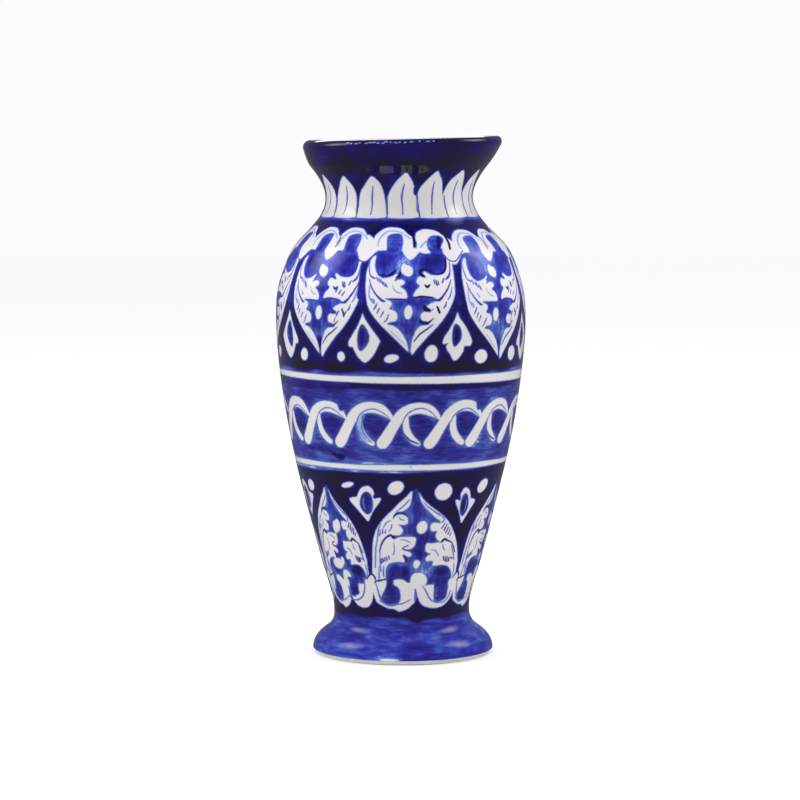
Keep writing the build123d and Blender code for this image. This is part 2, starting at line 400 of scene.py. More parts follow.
class Ground:
    """A band of the pot's surface while it is painted.

    reserve and line are distances in millimetres, above zero inside a white or a brushed mark;
    paint and line_paint say how thick the cobalt lies, from 0, thin wash, to 1, nearly black;
    upright says how far the brush ran up and down instead of round the pot.
    """

    reach = 4.0

    def __init__(self, form, rows, columns):
        past_lip = np.maximum(rows[:, 1] - form.lip_end[1], 0)
        self.form = form
        self.rows = rows
        self.run = form.run_at(np.minimum(rows[:, 1], form.lip_end[1])) + past_lip
        self.columns = columns
        shape = (len(rows), columns)
        self.reserve = np.full(shape, -self.reach)
        self.line = np.full(shape, -self.reach)
        self.paint = np.full(shape, 0.82)
        self.line_paint = np.zeros(shape)
        self.upright = np.zeros(shape)

    def near(self, marks):
        """The part of the grid near some marks, and the marks, in millimetres on the surface.

        Across is the radius times the turn from the marks' middle; up is the run of the profile.
        """
        turns, levels = np.asarray(marks, float)[:, :2].T
        runs, radii = self.form.run_at(levels), self.form.radius_at(levels)
        rows = np.flatnonzero((self.run > runs.min() - self.reach) & (self.run < runs.max() + self.reach))
        middle = (turns.min() + turns.max()) / 2
        spare = math.degrees(self.reach / radii.min())
        step = 360 / self.columns
        first = math.floor((turns.min() - spare + 180) / step)
        last = math.ceil((turns.max() + spare + 180) / step)
        columns = np.arange(first, min(last, first + self.columns - 1) + 1)
        away = np.radians(columns * step - 180 - middle)
        across = self.rows[rows, 0][:, None] * away[None, :]
        up = np.repeat(self.run[rows][:, None], len(columns), axis=1)
        outline = np.stack([radii * np.radians(turns - middle), runs], axis=1)
        return np.ix_(rows, columns % self.columns), across, up, outline

    def outline_depth(self, points):
        """How deep each grid point lies in a closed outline: least distance to its sides,
        below zero where a level line from the point crosses the outline an even number of times."""
        where, across, up, a = self.near(curved(points, closed=True))
        b = np.roll(a, -1, axis=0)
        px, py, side, share, gap = to_sides(across, up, a, b)
        spans = (py < 0) != (up[..., None] - b[:, 1] < 0)
        rise = np.where(side[:, 1] == 0, 1e-9, side[:, 1])
        crossed = spans & (px < side[:, 0] * py / rise)
        gap = gap.min(axis=-1)
        return where, np.where(crossed.sum(axis=-1) % 2 == 1, gap, -gap)

    def stroke_depth(self, points):
        """How deep each grid point lies in a brush stroke: the half width at the nearest place of
        the stroke, less the distance to it. A point is a turn, a level and a half width."""
        line = curved(points)
        where, across, up, spots = self.near(line)
        share, gap = to_sides(across, up, spots[:-1], spots[1:])[3:]
        half = line[:-1, 2] + share * (line[1:, 2] - line[:-1, 2])
        return where, (half - gap).max(axis=-1)

    def belt_depth(self, low, high):
        """How deep each grid point lies between two levels, which may differ with the turn."""
        turn = np.linspace(-180, 180, self.columns, endpoint=False)
        floor, top = (self.form.run_at(level(turn) if callable(level) else level) for level in (low, high))
        run = self.run[:, None]
        return np.minimum(run - floor, top - run) + np.zeros_like(self.paint)

    def leave(self, where, depth):
        """Leaves a place white as deep as it lies in a mark."""
        self.reserve[where] = np.maximum(self.reserve[where], depth)

    def leave_white(self, points):
        """Leaves the inside of an outline white."""
        self.leave(*self.outline_depth(points))

    def leave_stroke(self, points, base=0.0):
        """Leaves a stroke white, cut off flat below a base level."""
        where, depth = self.stroke_depth(points)
        self.leave(where, np.minimum(depth, (self.run - self.form.run_at(base))[where[0]]))

    def white_belt(self, low, high):
        """Leaves a white line round the pot between two levels."""
        self.leave(..., self.belt_depth(low, high))

    def lay(self, where, depth, thick, edge=0.5):
        """Thickness of the paint moves to a new one across an edge of some millimetres."""
        self.paint[where] += (thick - self.paint[where]) * eased(depth / (2 * edge) + 0.5)

    def cover(self, points, thick):
        """Paints an outline solid over what was white."""
        where, depth = self.outline_depth(points)
        self.reserve[where] = np.minimum(self.reserve[where], -depth)
        self.lay(where, depth, thick)

    def wash(self, points, thick, edge=0.5, upright=None):
        """Lays paint of some thickness inside an outline."""
        where, depth = self.outline_depth(points)
        self.lay(where, depth, thick, edge)
        if upright is not None:
            self.upright[where] = np.where(depth > 0, upright, self.upright[where])

    def brush_over(self, points, thick, edge=0.5):
        """Lays paint of some thickness along a stroke, under the white marks' edges."""
        self.lay(*self.stroke_depth(points), thick, edge)

    def draw(self, points, thick):
        """Draws a fine brush line over everything, thin at 0 and nearly black at 1."""
        where, depth = self.stroke_depth(points)
        nearer = depth > self.line[where]
        self.line[where] = np.where(nearer, depth, self.line[where])
        self.line_paint[where] = np.where(nearer, thick, self.line_paint[where])

    def belt(self, low, high, thick, edge=0.5):
        """Lays paint round the pot between two levels, brushed round it, with plain soft edges."""
        depth = self.belt_depth(low, high)
        self.paint += (thick - self.paint) * np.clip(depth / (2 * edge) + 0.5, 0, 1)
        self.upright = np.where(depth > 0, 0.0, self.upright)


def dot(turn, level, wide, high, lean=0.0, corner=0.0):
    """Outline of a dabbed dot: an oval of half sizes in degrees and millimetres, leaning, and
    with one side pulled out by the corner share."""
    a = np.radians(np.arange(0, 360, 45))
    swell = 1 + corner * np.cos(a - 2.4) ** 3
    across = wide * np.cos(a) * swell
    up = high * np.sin(a) * swell
    return np.stack([turn + across + lean * up, level + up], axis=1)


def moved(points, turn=0.0, level=0.0, stretch_turn=1.0, stretch_level=1.0, about=0.0):
    """Marks carried to another place on the pot, wider or taller by some share."""
    given = np.array(points, float)
    given[:, 0] = turn + given[:, 0] * stretch_turn
    given[:, 1] = about + level + (given[:, 1] - about) * stretch_level
    return given


def wobble(turn, seed):
    """A slow wave round the pot between -1 and 1: three sines with seeded phases."""
    phase = np.random.default_rng(seed).uniform(0, 2 * math.pi, 3)
    angle = np.radians(turn)
    return (0.5 * np.sin(3 * angle + phase[0]) + 0.3 * np.sin(7 * angle + phase[1])
            + 0.2 * np.sin(13 * angle + phase[2]))


def wavy(level, swing, seed):
    """A level that rises and falls round the pot by up to a swing."""
    return lambda turn: level + swing * wobble(turn, seed)


def spans(stems):
    """Each stem's number, its turn and the turn of the next one round the pot."""
    return zip(range(len(stems)), stems, (*stems[1:], stems[0] + 360))


# Ornament, in degrees round the pot and millimetres up it.

PETAL = (
    (-10.9, 259.9), (-11.5, 264), (-11.3, 270), (-9.7, 275.2), (-6.6, 279.6), (-3.2, 282.9), (0.2, 285.2),
    (3, 283.2), (6.2, 279.8), (8.9, 275.4), (10.6, 270), (11.1, 264), (10.9, 259.9))
PETAL_PLACES = (
    (-68, 284.4, 1.5), (-44.8, 283.9, 2.6), (-21.2, 284, 2), (2, 285.2, 2), (24.6, 286.2, 0.9),
    (45.6, 286.4, 0.8), (67.6, 286, -0.5))

# Half leaves of a shoulder panel, turns from the panel's middle.
LEFT_LEAF = (
    (-18.9, 236.4), (-20.4, 230), (-20.5, 225), (-20.3, 220), (-19.7, 215), (-18.8, 210), (-16.6, 205.2),
    (-13.2, 199.9), (-9.3, 195), (-5.3, 190), (-2.7, 186.6), (-0.9, 184.6), (-1, 187.6), (-1.8, 191),
    (-3.2, 194.4), (-5, 197.2), (-7.3, 199.4), (-9.9, 200.2), (-8.8, 201.3), (-6.5, 201.8), (-5.5, 203.8),
    (-5.7, 206.3), (-6.9, 208), (-9, 209), (-8, 211), (-8.4, 213.2), (-10.8, 214.8), (-6, 214.7),
    (-1.6, 214.6), (-1.2, 217.2), (-2.3, 219.8), (-4.1, 221.6), (-2.5, 222.8), (-2.1, 224.1),
    (-3.1, 225.4), (-5.3, 225.5), (-6.9, 224.7), (-5.9, 226.8), (-5.2, 228.6), (-6.2, 228.8),
    (-7.7, 227.6), (-9.9, 226.7), (-12.7, 226.4), (-15.2, 229), (-16.2, 232), (-16.5, 235),
    (-16.2, 238.4), (-17.4, 238.8))
RIGHT_LEAF = (
    (22, 236), (21.8, 229.4), (21.5, 223.6), (21.2, 218), (20.2, 213.8), (19, 210.7), (17, 206.3),
    (14.3, 201.6), (11.6, 197.7), (8.7, 194.2), (5.7, 190), (2.9, 185.9), (1, 182.8), (0.2, 184.6),
    (0.3, 187.6), (0.8, 191.1), (1.7, 194.4), (2.8, 197.2), (4.6, 199.3), (8.3, 200), (7.6, 201.6),
    (5.4, 202.2), (4.6, 203.8), (4.7, 205.8), (6.1, 207.4), (8.2, 207.2), (8.9, 208.6), (7.3, 209.9),
    (8.6, 211.6), (10.7, 212.8), (12.2, 213.8), (10.3, 215.3), (6, 215.8), (1.7, 215.8), (2.2, 218.8),
    (4.4, 221.7), (3.1, 223.6), (3.4, 226), (4.8, 227.3), (7.5, 226.4), (6.4, 228.8), (7.1, 230),
    (8.5, 229.2), (10.4, 228.1), (13.7, 227.8), (16, 228.6), (17.4, 230.6), (18.3, 234), (18.7, 237.2),
    (20.4, 238.2))
PANEL_INSIDE = (
    (-18.6, 244), (-20, 236), (-20.2, 228), (-19.9, 218), (-18.6, 210), (-16.2, 205), (-9.2, 195.3),
    (-2.6, 186.8), (0, 183.6), (2.9, 186.2), (11.5, 198), (18.9, 211), (21.2, 219), (21.4, 230),
    (21.2, 238), (19.8, 244), (12, 248), (0, 244), (-8, 248))
# Fine lines: thickness of the paint, then the stroke.
LEFT_VEINS = (
    (0.34, ((-19.6, 236.5, 0.3), (-19.1, 231, 0.4), (-18.3, 227.6, 0.45), (-16.4, 226.1, 0.6))),
    (0.42, ((-18.7, 225.4, 0.3), (-17.2, 220.6, 0.45), (-15, 216.6, 0.55), (-12.5, 213.7, 0.75),
            (-11.2, 213.2, 0.5))),
    (0.16, ((-18.1, 224, 0.35), (-18.5, 218.5, 0.4), (-18, 215, 0.5), (-16.6, 213.4, 1.1),
            (-16.1, 212.4, 0.8))),
    (0.3, ((-15.3, 226.8, 0.35), (-14.7, 224.8, 0.5))),
    (0.3, ((-14.1, 226, 0.35), (-13.5, 223.9, 0.5))),
    (0.34, ((-13, 225.2, 0.35), (-12.3, 222.9, 0.5))),
    (0.34, ((-11.9, 224.2, 0.35), (-11.3, 221.9, 0.5))),
    (0.3, ((-10.9, 223.2, 0.35), (-10.3, 221.3, 0.45))),
    (0.16, ((-7.8, 221.8, 0.3), (-6.9, 219.6, 0.38), (-5.3, 218.1, 0.38), (-3.6, 217.7, 0.3))),
    (0.34, ((-14.7, 212, 0.3), (-15.3, 210, 0.55), (-16.2, 208.4, 0.35))),
    (0.34, ((-13.6, 209, 0.5), (-14.7, 206.3, 0.35))),
    (0.34, ((-11.8, 207.2, 0.5), (-13.1, 204.2, 0.35))),
    (0.26, ((-9.5, 205.6, 0.35), (-10.2, 203, 0.5), (-11.7, 201.1, 0.3))),
    (0.12, ((-8.6, 196.6, 0.25), (-6.2, 193.2, 0.35), (-3.7, 190.2, 0.35), (-1.6, 187.9, 0.25))),
    (0.78, ((-14.6, 228.2, 0.4), (-11, 227.5, 0.6), (-8.3, 228.6, 0.9), (-6.6, 230.4, 0.7))),
    (0.85, ((-4.3, 229.6, 0.5), (-4.8, 227.6, 0.9), (-6.2, 226.6, 0.4))))
RIGHT_VEINS = (
    (0.4, ((20.3, 235, 0.3), (19.8, 229.6, 0.45), (18.6, 226.8, 0.7), (17.3, 225.4, 0.5))),
    (0.4, ((16.3, 225.9, 0.4), (15.4, 223.6, 0.55))),
    (0.5, ((19.8, 225, 0.3), (17.6, 220, 0.5), (15.3, 216.2, 0.6), (13.4, 213.9, 0.85),
           (11.6, 213.6, 0.5))),
    (0.26, ((19.9, 221, 0.3), (18.8, 216.6, 0.45), (17.4, 213.9, 0.35))),
    (0.4, ((16.6, 212.6, 0.3), (16, 210.4, 0.5), (15.2, 209.2, 0.35))),
    (0.4, ((11.2, 225.2, 0.3), (11.7, 222.9, 0.45))),
    (0.44, ((12.2, 225.2, 0.3), (12.7, 222.1, 0.55))),
    (0.4, ((13.2, 224.8, 0.3), (13.6, 222.6, 0.45))),
    (0.85, ((7, 222.3, 0.5), (8.1, 221.2, 0.8), (9.2, 222.4, 0.5))),
    (0.9, ((6.2, 210.8, 0.6), (6.9, 208.8, 1.3), (8.6, 208.1, 0.8))),
    (0.8, ((12.2, 209.9, 0.6), (13.2, 206.8, 0.8))),
    (0.2, ((8.6, 206.9, 0.3), (10.2, 208.6, 0.4))),
    (0.8, ((4.2, 203.1, 0.4), (5.2, 201, 0.7), (7.8, 200.8, 0.6), (10.4, 203.4, 0.3))),
    (0.45, ((1.6, 190.2, 0.35), (4.2, 194.4, 0.5), (7.4, 197.2, 0.5), (10.2, 199.9, 0.3))),
    (0.92, ((6.6, 227.4, 0.8), (5.2, 228.6, 0.8), (5.6, 230.8, 0.8), (8.3, 231, 0.6),
            (10.9, 229.1, 0.5))),
    (0.82, ((10.9, 229, 0.45), (14.2, 228.5, 0.5), (16.8, 229.6, 0.6), (18.1, 233, 0.7),
            (18.5, 237, 0.5))),
    (0.95, ((2, 215.2, 0.35), (5.2, 215.9, 0.6), (10.4, 215.2, 0.4))),
    (0.7, ((-1.5, 214.3, 0.3), (-5, 214.4, 0.4), (-9, 214.3, 0.3))))
SIDE_VEINS = (
    (0.5, ((9.4, 221.6, 0.35), (8.4, 219.6, 0.5))),
    (0.5, ((11.4, 220.6, 0.35), (10.3, 218.4, 0.5))),
    (0.5, ((13.4, 219.8, 0.35), (12.2, 217.6, 0.5))),
    (0.45, ((10.8, 208.8, 0.35), (9.7, 206.2, 0.5))),
    (0.5, ((14.4, 208.8, 0.35), (13.1, 205.8, 0.5))),
    (0.4, ((9, 205.2, 0.3), (8.3, 203, 0.4))),
    (0.3, ((-13.4, 219.6, 0.3), (-12.2, 217.4, 0.45))),
    (0.3, ((-8.8, 206.2, 0.3), (-9.7, 204, 0.4))))
PANEL_DOT = (
    (-4, 231), (-3.8, 233.4), (-2.4, 234.8), (-0.9, 233.7), (0.9, 233), (1.9, 230.6), (1.2, 228),
    (-0.4, 227), (-2.5, 227.9), (-3.8, 229.5))

# One scallop of the shoulder garland, turns from its own middle.
SCALLOP = (
    (-11.4, 242.2), (-11.9, 246), (-11.3, 249.6), (-9.2, 252.3), (-6.2, 254.2), (-3, 255), (1, 254.9),
    (4.2, 254.4), (6.8, 252.9), (8.6, 251.1), (10.7, 249.7), (11.3, 248.2), (11.2, 245), (11.2, 242.1),
    (6, 241.9), (0, 242), (-6, 242))
FINGER = (
    (-3.5, 239.5), (-3.3, 243.5), (-3.6, 248.8), (-2.6, 250.5), (0.5, 251.4), (3.6, 251.3), (4.9, 250),
    (5.2, 246.8), (4.6, 243.2), (4.5, 239.5))
SCALLOP_LINE = (
    (-8.2, 244.6, 0.4), (-8.2, 248, 0.5), (-6.1, 251.1, 0.5), (-3.1, 252.8, 0.45), (0.6, 252.9, 0.4),
    (4, 252.2, 0.4), (7.2, 250.4, 0.4), (9.4, 248.6, 0.35))
LIFTED_SCALLOP = (
    (-8.9, 242.6), (-8.5, 246), (-8.9, 249), (-8, 251.6), (-6, 252.9), (-2.4, 253.9), (1, 253.8),
    (4.5, 253.2), (7, 252.2), (8.6, 250.8), (10.2, 249.6), (10.8, 247.6), (10.4, 244.4), (9.4, 241),
    (7.5, 242.6), (3.8, 242.9), (-1.2, 241), (-3, 240.3), (-6.4, 240.5))
LIFTED_FINGER = (
    (-2.2, 242.2), (-2.6, 244), (-2.2, 246.6), (-0.7, 248.8), (1.8, 250.1), (5, 250.3), (7.2, 249.6),
    (7.9, 247.6), (5.8, 245.4), (4.4, 243.2), (4, 240.5), (0, 240))
PENDANT = (
    (-4.6, 243.4), (-4.2, 240.4), (-2.9, 238.1), (-1.2, 236.6), (0.8, 237.6), (2.7, 239.6), (4.4, 241.8),
    (4.4, 243.4))
HEART = (
    (-5.8, 243.5), (-4.6, 239.8), (-3.4, 237), (-1.2, 235.6), (0.8, 236), (2.6, 238.2), (4.6, 240.8),
    (6.8, 242.6), (4, 247), (0, 250.4), (-2.4, 250.2))

UPPER_SPADE = (
    (-0.3, 206.2), (0.7, 203.4), (3.2, 198.6), (6.2, 193.4), (7.6, 190.4), (6.6, 187.6), (5.6, 184.6),
    (3.7, 181), (1.2, 178.2), (-0.4, 178.4), (-2.8, 181.2), (-4.2, 184.2), (-5.2, 186.6), (-7, 187.2),
    (-7.1, 189.9), (-5.4, 193.6), (-2.9, 198.6), (-1.3, 203))
UPPER_SEED = (
    (-0.6, 200), (1.4, 197.6), (2.7, 193.4), (2.2, 189.4), (0.2, 186), (-1.6, 184.6), (-2.7, 187),
    (-2.9, 192), (-2.1, 197))
RIGHT_SPADE = (
    (-1, 206.5), (0, 203.5), (3, 198.5), (5.5, 193), (6.5, 189.5), (5.5, 187), (4, 187.2), (2.5, 186.8),
    (2, 184), (0, 180.5), (-1.5, 179), (-3, 179.3), (-4.5, 182.5), (-6, 185), (-6.5, 187.5), (-5.5, 189),
    (-7, 188.6), (-8.2, 189), (-7.5, 192.5), (-5, 197), (-2.5, 202.5))
RIGHT_SEED = (
    (-2, 200), (0, 198.5), (1, 194.5), (0.5, 190.5), (-2, 187), (-3.3, 188.5), (-3.7, 193), (-3.2, 198))
LOWER_SPADE = (
    (0.6, 105.8), (-2.5, 104.4), (-4.6, 101.5), (-5.8, 99.2), (-8.4, 98.6), (-10.6, 97.8), (-10.4, 96),
    (-8.2, 93.4), (-5.3, 90), (-2.8, 87), (-0.2, 84.4), (1.6, 87.3), (3.2, 90.2), (5.6, 93.5), (8, 96.6),
    (8.6, 98.6), (6.6, 98.8), (4.7, 98.2), (4.2, 99.6), (4.9, 101.6), (4, 104), (2.4, 105.5))
LOWER_SEED = (
    (0.6, 102.3), (-2, 101), (-3.9, 97.2), (-4.3, 93.6), (-2.7, 90.4), (-0.2, 88.6), (2.2, 90), (3.4, 93),
    (3.6, 97), (2.8, 100.6))

# Half leaves of a lower arch, turns from the arch's middle.
ARCH_LEFT = (
    (-2.2, 103), (-5.2, 99.8), (-9.6, 95.7), (-13.2, 91.7), (-17.3, 87.8), (-20.8, 83.9), (-23.4, 80.2),
    (-25.4, 76), (-26.8, 71), (-27.6, 66), (-28.3, 60), (-29.2, 54), (-29.2, 50.4), (-27.2, 47.8),
    (-25, 48), (-22, 48.6), (-19.6, 49.4), (-19.4, 52.5), (-18.8, 55.8), (-17.4, 58.2), (-14.8, 59.6),
    (-10.5, 60.2), (-6.4, 60), (-5.3, 61.4), (-5.9, 63), (-6.7, 64.6), (-4.9, 63.6), (-2.9, 63.3),
    (-1.3, 64.4), (-2, 65.8), (-4.3, 66.9), (-6.6, 67.6), (-4, 67.7), (-1.2, 68.5), (0.7, 70.6),
    (1.3, 73.6), (0.3, 75.3), (-4, 75.6), (-9.4, 75.4), (-12, 74.4), (-13.6, 75), (-12.4, 76.2),
    (-9, 76.5), (-7.4, 78), (-7.1, 80), (-8.4, 81.8), (-9.6, 82.8), (-6.2, 82.6), (-4.5, 83.4),
    (-3.8, 85), (-4.4, 87.1), (-6.4, 88.7), (-9, 89.1), (-11.6, 88), (-13, 86.4), (-12.2, 88.6),
    (-10.1, 90.4), (-7.8, 90.7), (-5.7, 91.6), (-3.3, 94), (-2.3, 97.4))
ARCH_RIGHT = (
    (1.9, 102), (4.6, 98), (9.2, 93.7), (13.9, 90.4), (19, 86.5), (23.4, 82), (26.8, 77), (29.6, 72),
    (31.6, 67), (33.6, 61), (35.8, 54.6), (36, 51), (33.6, 49.6), (31.4, 48.6), (30.6, 51), (28.4, 54.4),
    (25, 56.8), (20, 57.6), (15.2, 57.2), (13.4, 57.8), (13.7, 59.8), (12.4, 60.4), (9.4, 60.2),
    (8.2, 61.8), (9.2, 63.6), (11.4, 64.8), (9.4, 65.4), (7.8, 66.8), (7.5, 69), (8.4, 71.4), (12, 71.2),
    (16, 71.6), (18.2, 71.3), (16.3, 72.3), (14.4, 74.1), (13.8, 76.4), (14.3, 78.4), (11.8, 78.2),
    (10.2, 79.4), (9.8, 82), (11.2, 83.6), (13.8, 83.7), (16, 83.2), (15.7, 84.6), (13.2, 86.1),
    (9.2, 89.6), (5.6, 93.2), (3, 97.2))
ARCH_INSIDE = (
    (0, 104.6), (-2.6, 101.8), (-9.4, 95.2), (-17, 87.4), (-23.2, 79.8), (-26.6, 71), (-28.2, 60),
    (-29.2, 50), (-26, 44), (-10, 44), (10, 44), (28, 44), (34, 48), (35.4, 54), (31.2, 67), (26.4, 77),
    (18.6, 86.2), (9, 93.2), (2.4, 101.2))
ARCH_LEFT_LINES = (
    (0.2, ((-3.4, 98, 0.3), (-5.4, 95.4, 0.45), (-8.8, 92.4, 0.4), (-11, 90.6, 0.3))),
    (0.2, ((-14.6, 85.4, 0.3), (-17.3, 83.6, 0.4), (-19, 81, 0.35))),
    (0.16, ((-22.4, 79.6, 0.35), (-23.4, 74, 0.45), (-24.8, 69, 0.5), (-25.8, 62, 0.5),
            (-26.6, 56.5, 0.4))),
    (0.42, ((-22.6, 66.4, 0.4), (-20.6, 71.4, 0.55), (-18.2, 74.6, 0.6), (-15, 76.4, 0.8),
            (-13.6, 75.8, 0.6))),
    (0.3, ((-19.4, 80.2, 0.3), (-19.9, 77.4, 0.45))),
    (0.3, ((-21.2, 79.4, 0.3), (-21.7, 76.2, 0.45))),
    (0.3, ((-17.8, 79.8, 0.3), (-18.1, 77.8, 0.4))),
    (0.22, ((-13.7, 82.9, 0.35), (-14.3, 80.6, 0.4), (-15.8, 78.6, 0.3))),
    (0.22, ((-12.9, 71.8, 0.25), (-12.7, 67.4, 0.35), (-13.4, 64.6, 0.35))),
    (0.18, ((-22.2, 66, 0.3), (-22.8, 60, 0.45), (-22.6, 54.4, 0.4))),
    (0.24, ((-20.4, 57.6, 0.3), (-21, 53.6, 0.5), (-20.8, 50.8, 0.35))),
    (0.2, ((-20.6, 83.4, 0.3), (-21.9, 80.6, 0.4), (-22.6, 77.6, 0.3))),
    (0.26, ((-9.6, 87.4, 0.3), (-8.2, 86, 0.4), (-6.4, 85.6, 0.3))),
    (0.22, ((-8.4, 73.8, 0.3), (-5.4, 73.4, 0.4), (-2.4, 72, 0.3))),
    (0.4, ((-22.2, 61.6, 0.45), (-21.7, 59.4, 0.45))),
    (0.4, ((-20.8, 62.2, 0.45), (-20.4, 60.2, 0.5))),
    (0.36, ((-19.4, 62.6, 0.4), (-19.2, 60.8, 0.45))),
    (0.32, ((-18, 63.2, 0.4), (-17.8, 61.2, 0.4))),
    (0.28, ((-16.5, 64, 0.4), (-16.3, 62, 0.4))),
    (0.16, ((-23.8, 57, 0.3), (-24.4, 51, 0.5), (-24.6, 49.2, 0.35))),
    (0.35, ((-7.6, 68, 0.3), (-6, 69.6, 0.4), (-3.6, 70.2, 0.35))),
    (0.85, ((-12.4, 76, 0.5), (-13.6, 75.2, 0.8), (-12.4, 74.4, 0.4))),
    (0.35, ((-6.2, 68, 0.5), (-4.2, 67.4, 0.4))),
    (0.8, ((-6.8, 64.4, 0.45), (-5.4, 62.6, 0.9), (-4.8, 60.6, 0.8))),
    (0.75, ((-12.6, 87.4, 0.3), (-11.2, 89.4, 0.5), (-8.6, 90, 0.4), (-5.6, 89.4, 0.5))))
ARCH_RIGHT_LINES = (
    (0.2, ((4.6, 96.4, 0.3), (7.4, 93.4, 0.4), (11.4, 90.6, 0.45), (15.4, 87.6, 0.35))),
    (0.2, ((14.4, 89.2, 0.3), (18.6, 85.6, 0.4), (17, 83.4, 0.4))),
    (0.34, ((19.4, 83, 0.35), (17.6, 80, 0.5))),
    (0.38, ((21, 82.2, 0.35), (19.4, 78.6, 0.5))),
    (0.38, ((22.2, 80.4, 0.35), (20.8, 77.2, 0.5))),
    (0.34, ((23.6, 79.2, 0.35), (22.6, 76.2, 0.45))),
    (0.34, ((24.8, 77, 0.35), (24, 75, 0.4))),
    (0.55, ((18.6, 71.8, 0.7), (20.4, 73.2, 0.8), (23, 72.2, 0.6), (26.6, 70.4, 0.45), (30, 65, 0.4))),
    (0.26, ((26.4, 69, 0.3), (28.6, 64.6, 0.45), (30.6, 60, 0.4))),
    (0.22, ((19.6, 70, 0.3), (20.4, 67.8, 0.4), (21.6, 66.4, 0.3))),
    (0.18, ((11.8, 67.2, 0.3), (14.6, 66.6, 0.4), (16.6, 64.6, 0.35), (17.2, 63, 0.3))),
    (0.4, ((21, 62.8, 0.4), (21.8, 60.4, 0.45))),
    (0.4, ((22.6, 62.6, 0.4), (23.4, 59.6, 0.5))),
    (0.4, ((24.2, 62.4, 0.4), (24.8, 59.4, 0.5))),
    (0.4, ((25.8, 61.9, 0.4), (26.2, 59.6, 0.45))),
    (0.36, ((27.4, 61.6, 0.5), (29, 61, 0.4))),
    (0.18, ((31, 58, 0.35), (32, 54.6, 0.4), (31.8, 51, 0.35))))
# Pendants, webs and fingers of the lower garland, turns from the arch's middle.
LOWER_GARLAND = (
    (-31.4, 46), (-30.6, 49), (-30.4, 51.6), (-28.4, 50.6), (-27.8, 48), (-25, 47.8), (-22, 48.8),
    (-19.2, 49.2), (-14.6, 47.2), (-13.8, 49), (-10, 49.8), (-6.6, 49.2), (-4.2, 47.8), (-2.2, 47.6),
    (-1.6, 50.4), (0.2, 53), (3.2, 53.6), (6.6, 53.3), (9.6, 51.4), (10.9, 49), (10.7, 46.6), (9.4, 45.6),
    (12, 45.8), (17.6, 45.9), (24, 46), (30.4, 46.4), (32.6, 48.6), (35.4, 50.6), (37.4, 51.6), (38, 44),
    (37.4, 39.6), (36.6, 41.2), (35.2, 38), (32.8, 35), (28.7, 32.4), (22.7, 31.2), (16.7, 31.3),
    (10.7, 32.6), (6.7, 35), (4.7, 38), (2.9, 41.6), (2.7, 36.2), (0.6, 34), (-3.3, 31.4), (-8.3, 30),
    (-10.8, 29.8), (-14.3, 31.2), (-19.3, 31.6), (-24.3, 33.2), (-28.3, 35), (-29.8, 38), (-31, 42.4))
LOWER_FINGERS = (
    ((-18.8, 51), (-19.3, 46.5), (-20.8, 43.4), (-23.8, 39), (-25.6, 36), (-23, 35), (-19.4, 33.3),
     (-16.6, 33), (-13, 33.6), (-10, 35.6), (-9, 38.6), (-9.6, 42.6), (-11.4, 45), (-14, 46.4),
     (-14.4, 51)),
    ((17.6, 49), (17.5, 42), (18.2, 37), (19.6, 34.9), (23.6, 34.8), (27.6, 36), (29.8, 38), (30, 43),
     (30.4, 49)))
LEFT_ARCH_FINGER = (
    (-43.6, 49), (-43, 46.5), (-44, 41), (-43.3, 38.5), (-41, 37.4), (-37.5, 38.5), (-34.8, 40),
    (-35, 42), (-34.5, 44.5), (-34.2, 49))
LEFT_ARCH_LINE = (
    (-28.4, 47.6, 0.35), (-29.4, 42.6, 0.45), (-32.2, 38.2, 0.5), (-37, 35.8, 0.45), (-43, 35.4, 0.4),
    (-47, 37.6, 0.3))
LOWER_GARLAND_LINES = (
    (0.14, ((-27.8, 47.4, 0.3), (-26.4, 42, 0.5), (-25.2, 38.4, 0.7), (-23.4, 35.2, 0.5),
            (-19.2, 33.6, 0.45), (-14.3, 34, 0.4), (-8.6, 34.4, 0.45), (-4, 35.8, 0.4),
            (-1, 37.2, 0.3))),
    (0.15, ((7.6, 45.2, 0.3), (10.6, 42.2, 0.45), (13.4, 38.4, 0.5), (17.2, 35.6, 0.45),
            (22.6, 34.4, 0.4), (28.4, 34.6, 0.4), (32, 37.6, 0.5), (33.4, 41, 0.4))),
    (0.55, ((-28.6, 47, 0.35), (-27, 48.2, 0.5), (-23, 48.9, 0.5), (-19.4, 49.6, 0.5))),
    (0.75, ((-34.5, 49, 0.4), (-31.6, 51.8, 0.6), (-29.6, 52.4, 0.6), (-27.9, 50.6, 0.6),
            (-27.5, 48.8, 0.4))),
    (0.18, ((2.2, 43.4, 0.4), (2.8, 40, 0.9), (2.4, 36.5, 0.6))))

UPPER_STEMS = (-61.8, -18.3, 27, 73, 118, 163.5, 208, 253.5)
LOWER_STEMS = (-71, -22.6, 43.9, 96, 151, 222)
LOWER_MIDDLES = (-46.4, 8.3, 71, 122, 187, 256)
SCROLL_EYES = (-60, -36.6, -13, 9.8, 33.3, 56)

# Panels whose right scallop is lifted off its pendant, and spades drawn in the second shape.
LIFTED = (1, 5)
SECOND_SPADES = (2, 5)
# Widths of a panel and of the left and right half of an arch as drawn, in degrees.
PANEL_WIDTH, ARCH_LEFT_WIDTH, ARCH_RIGHT_WIDTH = 45.3, 30.9, 35.6
# Levels of the petals' foot and tips, and of the line about which a panel is stretched.
PETAL_FOOT, PETAL_TIP, PANEL_TOP = 259.9, 285.2, 240
# Turns of the painted glints along the front of the rim: pale marks that stand in for the sparkle of light on
# its edge.
RIM_GLINTS = (-33, -30.5, -27, -24.8, -21, -18.6, -16.4, -13.8, -11, -9.4, -6.8, -4, -1.6, 1.4, 5, 9.6,
          14.4, 17.6)
RIM_GLINT_LEVEL = 302.7


def strokes_at(place, points):
    """Marks given from a turn, carried to it."""
    return [(place + point[0], *point[1:]) for point in points]


